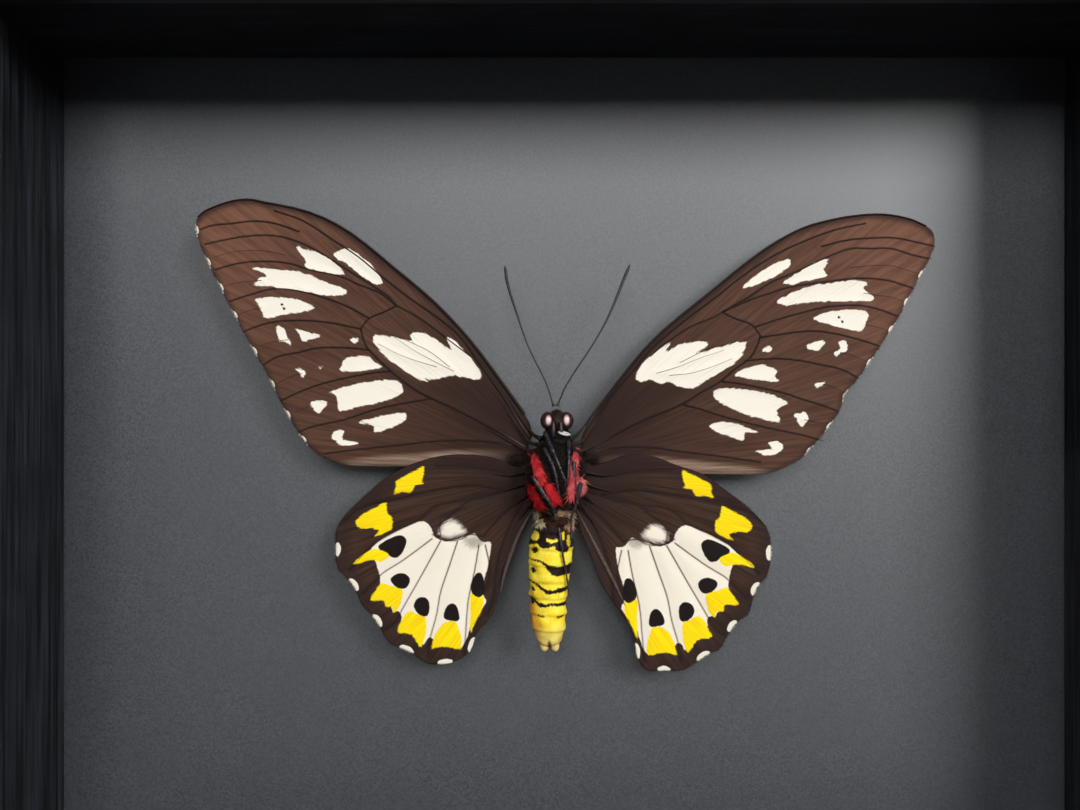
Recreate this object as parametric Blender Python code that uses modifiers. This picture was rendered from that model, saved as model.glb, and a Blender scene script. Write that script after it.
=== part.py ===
"""Framed butterfly specimen: a dry spread birdwing in a deep black shadow box.

Frame of the part: +Z up, the box stands on its bottom rail at Z = 0, the glass
faces -Y and the back faces +Y.  The origin is under the middle of the box.
The butterfly shows its underside, so the hindwings lie nearer the glass than
the forewings and the folded legs lie over the thorax.
"""

import math

import bmesh
import bpy

MM = 0.001
GAP = 0.3 * MM                 # clearance between pieces that touch

# Shadow box ---------------------------------------------------------------
GLAZING_WIDTH = 254.0 * MM     # 10 in sheet size shared by glass, card and back
GLAZING_HEIGHT = 203.2 * MM    # 8 in
RAIL_WALL = 9.0 * MM           # thickness of a rail beside the rabbet
LIP_REACH = 7.3 * MM           # how far the front lip covers the glass
LIP_DEPTH = 5.0 * MM
BOX_DEPTH = 50.0 * MM
RAIL_ARRIS = 0.5 * MM
MITRE_PULLBACK = GAP / math.sqrt(2.0)

GLASS_THICKNESS = 2.0 * MM
SPACER_DEPTH = 35.0 * MM
SPACER_THICKNESS = 4.0 * MM
CARD_THICKNESS = 1.5 * MM
BACK_THICKNESS = 2.5 * MM
SHEET_ARRIS = 0.25 * MM

TAB_LENGTH = 14.0 * MM
TAB_WIDTH = 8.0 * MM
TAB_THICKNESS = 0.6 * MM
TAB_SPREAD_X = 68.0 * MM       # tabs on the top and bottom rails, from the middle
TAB_SPREAD_Z = 52.0 * MM       # tabs on the side rails, from mid height

HANGER_WIDTH = 46.0 * MM
HANGER_HEIGHT = 7.6 * MM
HANGER_THICKNESS = 0.8 * MM
HANGER_TOOTH = 2.4 * MM
HANGER_TEETH = 7
HANGER_EAR = 8.0 * MM
NAIL_HEAD_RADIUS = 1.6 * MM
NAIL_HEAD_THICKNESS = 0.5 * MM
BUMPER_RADIUS = 4.0 * MM
BUMPER_THICKNESS = 1.5 * MM
BUMPER_X = 118.0 * MM
REAR_PROTRUSION = GAP + BUMPER_THICKNESS

RABBET_WIDTH = GLAZING_WIDTH + 2.0 * GAP
RABBET_HEIGHT = GLAZING_HEIGHT + 2.0 * GAP
OUTER_WIDTH = RABBET_WIDTH + 2.0 * RAIL_WALL
OUTER_HEIGHT = RABBET_HEIGHT + 2.0 * RAIL_WALL
MID_Z = OUTER_HEIGHT / 2.0

FRONT_Y = -(BOX_DEPTH + REAR_PROTRUSION) / 2.0
RAIL_BACK_Y = FRONT_Y + BOX_DEPTH
GLASS_Y = FRONT_Y + LIP_DEPTH + GAP
SPACER_Y = GLASS_Y + GLASS_THICKNESS + GAP
CARD_Y = SPACER_Y + SPACER_DEPTH + GAP
BACK_Y = CARD_Y + CARD_THICKNESS + GAP
TAB_Y = BACK_Y + BACK_THICKNESS + GAP

# Butterfly ------------------------------------------------------------------
BODY_X = -2.4 * MM             # the body hangs a little left of the middle
ROOT_Z = 113.6 * MM            # height of the forewing roots
WING_THICKNESS = 0.5 * MM
FOREWING_Y = 8.3 * MM
HINDWING_Y = FOREWING_Y - WING_THICKNESS - GAP

THORAX_CENTRE = (-2.5 * MM, 2.2 * MM, 106.7 * MM)
THORAX_RADII = (6.6 * MM, 4.7 * MM, 8.8 * MM)
HEAD_CENTRE = (-2.1 * MM, 2.6 * MM, 119.2 * MM)
HEAD_RADII = (1.05 * MM, 3.0 * MM, 3.0 * MM)
EYE_OFFSET = 2.6 * MM
EYE_RADII = (1.2 * MM, 1.75 * MM, 1.85 * MM)
PALP_OFFSET = 0.85 * MM
PALP_RADIUS = 0.42 * MM
PROBOSCIS_RING = 0.9 * MM
PROBOSCIS_RADIUS = 0.2 * MM

ABDOMEN_TOP = (-2.9 * MM, 2.4 * MM, 97.5 * MM)
ABDOMEN_LEAN = math.radians(2.2)
ABDOMEN_FLATTENING = 0.88
ABDOMEN_SEGMENTS = 7
SEGMENT_PINCH = 0.12 * MM
# (distance down from the top, radius) in mm, between the two rounded ends
ABDOMEN_GIRTH = [(0.0, 0.0), (0.8, 3.1), (3.0, 4.5), (7.5, 5.1), (13.7, 4.6), (19.0, 4.1),
                 (23.8, 4.1), (27.4, 3.5), (29.2, 2.6), (30.6, 1.5), (31.3, 0.0)]

BLOCK_WIDTH = 5.0 * MM
BLOCK_HEIGHT = 11.0 * MM
BLOCK_Z = 106.5 * MM

# Wing outlines in mm, (outward from the body's middle line, up from ROOT_Z)
FOREWING_LEFT = [
    (6.1, 0.7), (5.5, 2.6), (8.8, 9.7), (15.2, 18.0), (22.6, 27.8), (31.6, 36.5), (40.6, 43.9),
    (48.4, 50.2), (58.1, 55.1), (68.9, 57.5), (73.0, 58.2), (77.6, 57.5), (82.6, 55.6),
    (84.6, 54.0), (84.9, 51.0), (82.6, 44.4), (79.4, 38.0), (76.4, 31.9), (72.8, 25.2),
    (67.6, 15.9), (64.0, 8.6), (60.2, 2.3), (57.8, -0.7), (54.8, -2.8), (51.3, -4.3),
    (43.9, -5.0), (34.4, -5.0), (20.0, -4.5), (7.5, -2.5),
]
FOREWING_RIGHT = [
    (6.2, 0.1), (6.6, 2.7), (9.6, 7.6), (18.7, 19.7), (25.3, 26.8), (31.5, 31.8), (43.5, 41.8),
    (50.3, 46.7), (56.6, 50.5), (62.9, 52.7), (69.2, 54.0), (75.6, 54.7), (82.0, 54.0),
    (86.8, 52.4), (89.3, 50.5), (89.8, 48.6), (87.7, 42.6), (84.9, 37.5), (81.3, 30.5),
    (76.6, 23.1), (71.1, 15.2), (68.3, 11.9), (67.6, 9.1), (64.8, 4.6), (60.2, -0.9),
    (57.9, -3.3), (54.3, -5.1), (51.2, -6.4), (39.1, -6.9), (22.0, -6.5), (8.0, -3.5),
]
HINDWING_LEFT = [
    (5.9, -4.3), (8.6, -5.2), (12.6, -3.6), (16.6, -2.6), (22.1, -2.3), (27.6, -2.7),
    (33.0, -4.3), (38.2, -6.6), (42.3, -9.7), (46.4, -13.5), (49.7, -16.8), (51.6, -20.0),
    (51.6, -23.2), (51.1, -29.1), (48.8, -31.4), (46.7, -34.5), (45.4, -37.7), (43.2, -39.8),
    (41.0, -43.2), (39.2, -46.3), (36.9, -47.4), (33.4, -49.0), (30.6, -51.1), (27.2, -51.5),
    (23.4, -50.8), (20.2, -48.6), (18.6, -44.4), (15.6, -40.8), (13.8, -36.8), (13.2, -31.5),
    (11.3, -26.6), (7.2, -19.4), (5.5, -14.5),
]
HINDWING_RIGHT = [
    (5.9, -4.0), (9.1, -4.7), (13.7, -3.4), (19.6, -2.0), (25.3, -3.5), (30.1, -5.4),
    (35.7, -7.3), (38.4, -9.6), (44.6, -14.0), (47.5, -16.8), (49.9, -19.9), (50.6, -22.8),
    (50.4, -28.1), (49.6, -31.0), (47.7, -33.0), (46.3, -36.3), (45.3, -39.8), (43.0, -41.3),
    (40.3, -45.1), (38.4, -48.2), (36.5, -48.8), (33.2, -51.0), (30.3, -52.8), (25.6, -53.0),
    (21.5, -52.8), (19.6, -50.6), (18.6, -45.5), (17.0, -41.9), (13.9, -37.4), (10.6, -32.0),
    (7.9, -24.9), (5.6, -18.9), (4.9, -14.0),
]

# Antennae: (x, y, z) in mm from the head out to the club
ANTENNA_LEFT = [(-2.9, 1.4, 122.9), (-3.3, 1.0, 124.2), (-4.7, 1.2, 128.4), (-7.2, 1.8, 133.4),
                (-9.2, 2.4, 137.9), (-11.1, 3.2, 143.5), (-12.7, 4.0, 148.4),
                (-13.7, 4.6, 152.1), (-14.1, 5.0, 155.6)]
ANTENNA_RIGHT = [(-1.4, 1.4, 122.9), (-1.3, 1.0, 124.6), (0.8, 1.2, 128.9), (4.0, 1.8, 133.7),
                 (6.7, 2.4, 137.9), (9.3, 3.0, 142.5), (11.8, 3.8, 148.1),
                 (13.6, 4.4, 152.6), (15.0, 4.8, 155.8)]
ANTENNA_SHAFT_RADIUS = 0.17 * MM
ANTENNA_CLUB_RADIUS = 0.32 * MM

# Legs: (x, z) in mm from the hip down, and how far each lies off the body
LEG_RADIUS = 0.36 * MM
LEG_STEPS = 2                  # stretches between two points of a leg's path
LEG_PATHS = {
    "leg_fore_left": (1.9, [(-4.9, 116.8), (-2.2, 110.8), (-0.4, 106.3), (0.1, 103.1)]),
    "leg_fore_right": (0.8, [(0.5, 115.0), (0.5, 110.5), (0.3, 106.9), (0.0, 105.2)]),
    "leg_mid_left": (0.8, [(-5.0, 113.2), (-3.1, 109.6), (-2.4, 107.2), (-1.5, 101.8)]),
    "leg_mid_right": (0.8, [(1.6, 110.3), (1.9, 104.9), (1.8, 99.6)]),
    "leg_hind_left": (0.8, [(-7.6, 106.9), (-3.5, 100.6), (-1.8, 95.9), (-0.7, 88.3),
                            (-0.1, 85.4), (0.6, 79.8)]),
    "leg_hind_right": (1.9, [(3.2, 105.6), (2.1, 100.6), (1.0, 96.8), (1.2, 91.7)]),
}


def clear_scene():
    for obj in list(bpy.data.objects):
        bpy.data.objects.remove(obj, do_unlink=True)


def new_collection(name):
    collection = bpy.data.collections.new(name)
    bpy.context.scene.collection.children.link(collection)
    return collection


def make_material(name, colour, roughness, metallic=0.0, transmission=0.0):
    """A Principled material from a linear colour."""
    material = bpy.data.materials.new(name)
    material.use_nodes = True
    shader = material.node_tree.nodes["Principled BSDF"]
    shader.inputs["Base Color"].default_value = (*colour, 1.0)
    shader.inputs["Roughness"].default_value = roughness
    shader.inputs["Metallic"].default_value = metallic
    shader.inputs["Transmission Weight"].default_value = transmission
    return material


def add_object(name, data, material, collection):
    obj = bpy.data.objects.new(name, data)
    data.materials.append(material)
    collection.objects.link(obj)
    return obj


def mesh_object(name, bm, material, collection, smooth=False):
    """Turn a bmesh into a named object and free it."""
    bmesh.ops.recalc_face_normals(bm, faces=bm.faces)
    mesh = bpy.data.meshes.new(name)
    bm.to_mesh(mesh)
    bm.free()
    if smooth:
        mesh.shade_smooth()
    return add_object(name, mesh, material, collection)


def add_bevel(obj, width, segments=1):
    bevel = obj.modifiers.new("arris", "BEVEL")
    bevel.width = width
    bevel.segments = segments
    bevel.limit_method = "ANGLE"
    bevel.angle_limit = math.radians(35.0)


def box(name, size, centre, material, collection, arris=0.0):
    bm = bmesh.new()
    bmesh.ops.create_cube(bm, size=1.0)
    bmesh.ops.scale(bm, vec=size, verts=bm.verts)
    obj = mesh_object(name, bm, material, collection)
    obj.location = centre
    if arris > 0.0:
        add_bevel(obj, arris)
    return obj


def ellipsoid(name, centre, radii, material, collection, around=20, along=12):
    bm = bmesh.new()
    bmesh.ops.create_uvsphere(bm, u_segments=around, v_segments=along, radius=1.0)
    bmesh.ops.scale(bm, vec=radii, verts=bm.verts)
    obj = mesh_object(name, bm, material, collection, smooth=True)
    obj.location = centre
    return obj


def disc(name, radius, thickness, centre, material, collection, sides=24, arris=0.0):
    """A short round piece with its axis along Y."""
    bm = bmesh.new()
    bmesh.ops.create_cone(bm, cap_ends=True, segments=sides, radius1=radius, radius2=radius,
                          depth=thickness)
    obj = mesh_object(name, bm, material, collection)
    obj.rotation_euler = (math.radians(90.0), 0.0, 0.0)
    obj.location = centre
    if arris > 0.0:
        add_bevel(obj, arris)
    return obj


def tube(name, points, radii, bevel_depth, material, collection, smooth_path=False):
    """A round rod along points, each with its own share of bevel_depth as radius."""
    curve = bpy.data.curves.new(name, "CURVE")
    curve.dimensions = "3D"
    curve.bevel_depth = bevel_depth
    curve.bevel_resolution = 2
    curve.use_fill_caps = True
    curve.resolution_u = 3
    curve.render_resolution_u = 0
    spline = curve.splines.new("BEZIER" if smooth_path else "POLY")
    knots = spline.bezier_points if smooth_path else spline.points
    knots.add(len(points) - 1)
    for knot, point, radius in zip(knots, points, radii):
        knot.co = point if smooth_path else (*point, 1.0)
        knot.radius = radius
        if smooth_path:
            knot.handle_left_type = "AUTO"
            knot.handle_right_type = "AUTO"
    return add_object(name, curve, material, collection)


def flat_outline(name, outline, thickness, material, collection):
    """A plate cut to a smooth closed outline that lies in the object's XY plane."""
    curve = bpy.data.curves.new(name, "CURVE")
    curve.dimensions = "2D"
    curve.fill_mode = "BOTH"
    curve.extrude = thickness / 2.0
    curve.resolution_u = 3
    curve.render_resolution_u = 0
    spline = curve.splines.new("BEZIER")
    spline.bezier_points.add(len(outline) - 1)
    for knot, (x, y) in zip(spline.bezier_points, outline):
        knot.co = (x, y, 0.0)
        knot.handle_left_type = "AUTO"
        knot.handle_right_type = "AUTO"
    spline.use_cyclic_u = True
    return add_object(name, curve, material, collection)


# Shadow box ---------------------------------------------------------------

def rail(name, length, centre, turn, material, collection):
    """A mitred rail lying along X with its outer face down, turned about Y.

    The section has the outer wall at full depth and a front lip over the glass.
    Each end slopes in by as much as a point stands in from the outer face.
    """
    section = [(0.0, 0.0), (RAIL_WALL + LIP_REACH, 0.0), (RAIL_WALL + LIP_REACH, LIP_DEPTH),
               (RAIL_WALL, LIP_DEPTH), (RAIL_WALL, BOX_DEPTH), (0.0, BOX_DEPTH)]
    bm = bmesh.new()
    corners = [bm.verts.new((0.0, FRONT_Y + depth, inward)) for inward, depth in section]
    end_face = bm.faces.new(corners)
    grown = bmesh.ops.extrude_face_region(bm, geom=[end_face])
    far_end = [item for item in grown["geom"] if isinstance(item, bmesh.types.BMVert)]
    for vert in corners:
        vert.co.x = -length / 2.0 + vert.co.z + MITRE_PULLBACK
    for vert in far_end:
        vert.co.x = length / 2.0 - vert.co.z - MITRE_PULLBACK
    obj = mesh_object(name, bm, material, collection)
    obj.rotation_euler = (0.0, turn, 0.0)
    obj.location = centre
    add_bevel(obj, RAIL_ARRIS, segments=2)
    return obj


def build_rails(collection):
    paint = make_material("black_wood_paint", (0.012, 0.012, 0.013), 0.42)
    half_width = OUTER_WIDTH / 2.0
    rail("rail_bottom", OUTER_WIDTH, (0.0, 0.0, 0.0), 0.0, paint, collection)
    rail("rail_top", OUTER_WIDTH, (0.0, 0.0, OUTER_HEIGHT), math.pi, paint, collection)
    rail("rail_left", OUTER_HEIGHT, (-half_width, 0.0, MID_Z), math.pi / 2.0, paint, collection)
    rail("rail_right", OUTER_HEIGHT, (half_width, 0.0, MID_Z), -math.pi / 2.0, paint, collection)


def build_sheets(collection):
    glass = make_material("clear_glass", (1.0, 1.0, 1.0), 0.02, transmission=1.0)
    card = make_material("charcoal_card", (0.055, 0.058, 0.063), 0.7)
    board = make_material("brown_hardboard", (0.16, 0.09, 0.05), 0.75)
    for name, front, thickness, material in (
        ("glass", GLASS_Y, GLASS_THICKNESS, glass),
        ("mount_card", CARD_Y, CARD_THICKNESS, card),
        ("back_panel", BACK_Y, BACK_THICKNESS, board),
    ):
        size = (GLAZING_WIDTH, thickness, GLAZING_HEIGHT)
        centre = (0.0, front + thickness / 2.0, MID_Z)
        box(name, size, centre, material, collection, SHEET_ARRIS)


def build_spacers(collection):
    stain = make_material("black_wood_stain", (0.014, 0.014, 0.016), 0.5)
    middle_y = SPACER_Y + SPACER_DEPTH / 2.0
    side_length = GLAZING_HEIGHT - 2.0 * (SPACER_THICKNESS + GAP)
    rise = (GLAZING_HEIGHT - SPACER_THICKNESS) / 2.0
    reach = (GLAZING_WIDTH - SPACER_THICKNESS) / 2.0
    flat = (GLAZING_WIDTH, SPACER_DEPTH, SPACER_THICKNESS)
    upright = (SPACER_THICKNESS, SPACER_DEPTH, side_length)
    for name, size, x, z in (
        ("spacer_top", flat, 0.0, MID_Z + rise),
        ("spacer_bottom", flat, 0.0, MID_Z - rise),
        ("spacer_left", upright, -reach, MID_Z),
        ("spacer_right", upright, reach, MID_Z),
    ):
        box(name, size, (x, middle_y, z), stain, collection, SHEET_ARRIS)


def build_tabs(collection):
    """Bendable points that leave the rabbet wall and lie flat on the back panel."""
    steel = make_material("tab_steel", (0.45, 0.45, 0.46), 0.35, metallic=1.0)
    middle_y = TAB_Y + TAB_THICKNESS / 2.0
    rise = RABBET_HEIGHT / 2.0 - GAP - TAB_LENGTH / 2.0
    reach = RABBET_WIDTH / 2.0 - GAP - TAB_LENGTH / 2.0
    upright = (TAB_WIDTH, TAB_THICKNESS, TAB_LENGTH)
    lying = (TAB_LENGTH, TAB_THICKNESS, TAB_WIDTH)
    places = []
    for x in (-TAB_SPREAD_X, TAB_SPREAD_X):
        places.append((upright, x, MID_Z + rise))
        places.append((upright, x, MID_Z - rise))
    for z in (MID_Z - TAB_SPREAD_Z, MID_Z + TAB_SPREAD_Z):
        places.append((lying, -reach, z))
        places.append((lying, reach, z))
    for number, (size, x, z) in enumerate(places, start=1):
        box(f"retaining_tab_{number}", size, (x, middle_y, z), steel, collection, 0.15 * MM)


def hanger_outline():
    """The sawtooth plate: a plain strip with teeth cut up into its lower edge."""
    half_width = HANGER_WIDTH / 2.0
    half_height = HANGER_HEIGHT / 2.0
    first_tooth = -half_width + HANGER_EAR
    pitch = (HANGER_WIDTH - 2.0 * HANGER_EAR) / HANGER_TEETH
    points = [(-half_width, half_height), (-half_width, -half_height)]
    for tooth in range(HANGER_TEETH):
        left = first_tooth + tooth * pitch
        points.append((left, -half_height))
        points.append((left + pitch / 2.0, -half_height + HANGER_TOOTH))
    points.append((first_tooth + HANGER_TEETH * pitch, -half_height))
    points.extend([(half_width, -half_height), (half_width, half_height)])
    return points


def build_back_hardware(collection):
    steel = make_material("zinc_steel", (0.5, 0.48, 0.44), 0.38, metallic=1.0)
    rubber = make_material("clear_grey_rubber", (0.32, 0.32, 0.33), 0.6)
    hanger_z = OUTER_HEIGHT - RAIL_WALL / 2.0
    hanger_y = RAIL_BACK_Y + GAP

    bm = bmesh.new()
    plate = bm.faces.new([bm.verts.new((x, 0.0, z)) for x, z in hanger_outline()])
    grown = bmesh.ops.extrude_face_region(bm, geom=[plate])
    rear = [item for item in grown["geom"] if isinstance(item, bmesh.types.BMVert)]
    bmesh.ops.translate(bm, vec=(0.0, HANGER_THICKNESS, 0.0), verts=rear)
    hanger = mesh_object("sawtooth_hanger", bm, steel, collection)
    hanger.location = (0.0, hanger_y, hanger_z)

    nail_y = hanger_y + HANGER_THICKNESS + GAP / 2.0 + NAIL_HEAD_THICKNESS / 2.0
    nail_x = (HANGER_WIDTH - HANGER_EAR) / 2.0
    bumper_y = RAIL_BACK_Y + GAP + BUMPER_THICKNESS / 2.0
    for side, label in ((-1.0, "left"), (1.0, "right")):
        disc(f"hanger_nail_{label}", NAIL_HEAD_RADIUS, NAIL_HEAD_THICKNESS,
             (side * nail_x, nail_y, hanger_z), steel, collection, sides=16)
        disc(f"bumper_{label}", BUMPER_RADIUS, BUMPER_THICKNESS,
             (side * BUMPER_X, bumper_y, RAIL_WALL / 2.0), rubber, collection, arris=0.3 * MM)


# Butterfly ------------------------------------------------------------------

def build_wings(collection):
    fore = make_material("forewing_scales", (0.10, 0.055, 0.04), 0.6)
    hind = make_material("hindwing_scales", (0.45, 0.33, 0.12), 0.6)
    for name, outline, side, depth, material in (
        ("forewing_left", FOREWING_LEFT, -1.0, FOREWING_Y, fore),
        ("forewing_right", FOREWING_RIGHT, 1.0, FOREWING_Y, fore),
        ("hindwing_left", HINDWING_LEFT, -1.0, HINDWING_Y, hind),
        ("hindwing_right", HINDWING_RIGHT, 1.0, HINDWING_Y, hind),
    ):
        points = [(side * outward * MM, up * MM) for outward, up in outline]
        wing = flat_outline(name, points, WING_THICKNESS, material, collection)
        wing.rotation_euler = (math.radians(90.0), 0.0, 0.0)
        wing.location = (BODY_X, depth, ROOT_Z)


def abdomen_radius(down):
    """Radius in metres at a distance in mm down the abdomen, pinched between segments."""
    for (start, near), (end, far) in zip(ABDOMEN_GIRTH, ABDOMEN_GIRTH[1:]):
        if down <= end:
            share = (down - start) / (end - start)
            radius = (near + share * (far - near)) * MM
            break
    length = ABDOMEN_GIRTH[-1][0]
    pinch = abs(math.cos(math.pi * ABDOMEN_SEGMENTS * down / length)) ** 6
    return max(0.0, radius - SEGMENT_PINCH * pinch * min(1.0, radius / (2.0 * MM)))


def build_abdomen(collection):
    """A turned body of pinched rings, flattened a little from front to back."""
    yellow = make_material("abdomen_scales", (0.75, 0.52, 0.05), 0.55)
    length = ABDOMEN_GIRTH[-1][0]
    rings = 4 * ABDOMEN_SEGMENTS
    bm = bmesh.new()
    profile = [bm.verts.new((abdomen_radius(length * ring / rings), 0.0, -length * MM * ring / rings))
               for ring in range(rings + 1)]
    for upper, lower in zip(profile, profile[1:]):
        bm.edges.new((upper, lower))
    mesh = bpy.data.meshes.new("abdomen")
    bm.to_mesh(mesh)
    bm.free()
    abdomen = add_object("abdomen", mesh, yellow, collection)
    screw = abdomen.modifiers.new("turn", "SCREW")
    screw.axis = "Z"
    screw.steps = 20
    screw.render_steps = 20
    screw.use_merge_vertices = True
    screw.merge_threshold = 0.00001
    abdomen.scale = (1.0, ABDOMEN_FLATTENING, 1.0)
    abdomen.rotation_euler = (0.0, ABDOMEN_LEAN, 0.0)
    abdomen.location = ABDOMEN_TOP


def build_head(collection):
    cuticle = make_material("dark_cuticle", (0.03, 0.02, 0.018), 0.4)
    eye_shell = make_material("eye_shell", (0.12, 0.05, 0.05), 0.15)
    head_x, head_y, head_z = HEAD_CENTRE
    ellipsoid("head", HEAD_CENTRE, HEAD_RADII, cuticle, collection, around=16, along=10)
    palp_y = head_y - HEAD_RADII[1] - PALP_RADIUS - 0.2 * MM
    for side, label in ((-1.0, "left"), (1.0, "right")):
        ellipsoid(f"eye_{label}", (head_x + side * EYE_OFFSET, head_y - 0.6 * MM, head_z + 0.3 * MM),
                  EYE_RADII, eye_shell, collection, around=16, along=10)
        palp_x = head_x + side * PALP_OFFSET
        palp_path = [(palp_x, palp_y + 0.3 * MM, head_z - 3.4 * MM),
                     (palp_x, palp_y - 0.2 * MM, head_z - 1.8 * MM),
                     (palp_x, palp_y, head_z + 0.2 * MM)]
        tube(f"palp_{label}", palp_path, (0.9, 1.0, 0.5), PALP_RADIUS, cuticle, collection)
    bpy.ops.mesh.primitive_torus_add(major_segments=16, minor_segments=6,
                                     major_radius=PROBOSCIS_RING, minor_radius=PROBOSCIS_RADIUS)
    coil = bpy.context.object
    coil.name = "proboscis"
    coil.data.name = "proboscis"
    coil.data.materials.append(cuticle)
    coil.data.shade_smooth()
    coil.rotation_euler = (0.0, math.radians(90.0), 0.0)
    coil.location = (head_x, palp_y - 0.5 * MM, head_z - 2.6 * MM)
    for owner in list(coil.users_collection):
        owner.objects.unlink(coil)
    collection.objects.link(coil)


def build_antennae(collection):
    cuticle = make_material("antenna_cuticle", (0.015, 0.012, 0.012), 0.35)
    slenderness = ANTENNA_SHAFT_RADIUS / ANTENNA_CLUB_RADIUS
    shares = (1.0, slenderness, slenderness, slenderness, slenderness, 0.7, 0.9, 1.0, 0.5)
    for name, path in (("antenna_left", ANTENNA_LEFT), ("antenna_right", ANTENNA_RIGHT)):
        points = [(x * MM, y * MM, z * MM) for x, y, z in path]
        tube(name, points, shares, ANTENNA_CLUB_RADIUS, cuticle, collection, smooth_path=True)


def ventral_depth(x, z):
    """Y of the body's front surface at (x, z), from the thorax or the abdomen."""
    centre_x, centre_y, centre_z = THORAX_CENTRE
    half_x, half_y, half_z = THORAX_RADII
    spread = ((x - centre_x) / half_x) ** 2 + ((z - centre_z) / half_z) ** 2
    thorax_front = centre_y - half_y * math.sqrt(max(0.0, 1.0 - spread))
    down = max(0.0, (ABDOMEN_TOP[2] - z) / MM)
    girth = max(abdomen_radius(down), 0.0001 * MM)
    middle = ABDOMEN_TOP[0] - (ABDOMEN_TOP[2] - z) * math.tan(ABDOMEN_LEAN)
    share = min(1.0, abs(x - middle) / girth)
    abdomen_front = ABDOMEN_TOP[1] - ABDOMEN_FLATTENING * girth * math.sqrt(1.0 - share ** 2)
    return min(thorax_front, abdomen_front)


def follow(path, steps):
    """The path's own points with evenly spaced ones between them."""
    points = [path[0]]
    for start, end in zip(path, path[1:]):
        for step in range(1, steps + 1):
            share = step / steps
            points.append(tuple(a + share * (b - a) for a, b in zip(start, end)))
    return points


def build_legs(collection):
    """Six folded legs that lie over the thorax; each knee is its widest point."""
    cuticle = make_material("leg_cuticle", (0.02, 0.018, 0.02), 0.3)
    for name, (lift, path) in LEG_PATHS.items():
        points = []
        for x, z in follow(path, LEG_STEPS):
            depth = ventral_depth(x * MM, z * MM) - lift * MM
            points.append((x * MM, depth, z * MM))
        shares = [1.0 - 0.45 * index / (len(points) - 1) for index in range(len(points))]
        tube(name, points, shares, LEG_RADIUS, cuticle, collection)


def build_butterfly(collection):
    down = make_material("thorax_down", (0.06, 0.012, 0.014), 0.8)
    foam = make_material("support_foam", (0.02, 0.02, 0.02), 0.9)
    ellipsoid("thorax", THORAX_CENTRE, THORAX_RADII, down, collection)
    build_head(collection)
    build_abdomen(collection)
    build_antennae(collection)
    build_legs(collection)
    build_wings(collection)
    block_front = THORAX_CENTRE[1] + THORAX_RADII[1] + GAP
    block_depth = CARD_Y - GAP - block_front
    box("support_block", (BLOCK_WIDTH, block_depth, BLOCK_HEIGHT),
        (BODY_X, block_front + block_depth / 2.0, BLOCK_Z), foam, collection)


def main():
    clear_scene()
    parts = new_collection("framed_butterfly_specimen")
    build_rails(parts)
    build_sheets(parts)
    build_spacers(parts)
    build_tabs(parts)
    build_back_hardware(parts)
    build_butterfly(parts)


main()
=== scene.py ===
"""Looks of the framed butterfly specimen: a dry birdwing in a deep black shadow box.

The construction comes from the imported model; this script finishes every surface of it and
models the soft and fine parts: wing membranes with their veins and markings, down, fringes,
the ringed abdomen, the jointed legs, the antennae and the eyes.

Everything is in metres, +Z up, with the glass facing -Y.  Wing drawings are in millimetres,
(outward from the body's middle line, up from the level of the wing roots).
"""

from __future__ import annotations

import logging
import math
from dataclasses import dataclass, field
from enum import Enum

import bmesh
import bpy
import numpy as np
from mathutils import Matrix, Vector


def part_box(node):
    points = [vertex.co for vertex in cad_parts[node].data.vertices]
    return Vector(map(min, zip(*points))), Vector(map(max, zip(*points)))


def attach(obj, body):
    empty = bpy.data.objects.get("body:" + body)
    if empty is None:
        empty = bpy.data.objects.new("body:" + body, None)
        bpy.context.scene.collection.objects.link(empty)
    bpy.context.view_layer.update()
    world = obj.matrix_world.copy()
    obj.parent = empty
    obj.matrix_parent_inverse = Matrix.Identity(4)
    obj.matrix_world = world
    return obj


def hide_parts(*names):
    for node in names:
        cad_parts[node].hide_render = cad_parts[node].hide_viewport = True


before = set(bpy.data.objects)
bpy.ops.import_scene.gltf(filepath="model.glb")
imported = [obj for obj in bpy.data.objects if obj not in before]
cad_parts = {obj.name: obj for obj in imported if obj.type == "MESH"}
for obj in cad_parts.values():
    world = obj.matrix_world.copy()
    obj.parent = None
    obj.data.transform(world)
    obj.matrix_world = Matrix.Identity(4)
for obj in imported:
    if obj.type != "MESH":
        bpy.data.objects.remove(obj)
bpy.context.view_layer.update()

MM = 0.001
MICRON = 0.000001
LOG = logging.getLogger("butterfly_frame")

Drawing = list[tuple[float, float]]
Material = bpy.types.Material
Socket = bpy.types.NodeSocket
Colour = tuple[float, float, float, float]


# Drawings of the wings ------------------------------------------------------------------

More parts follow.
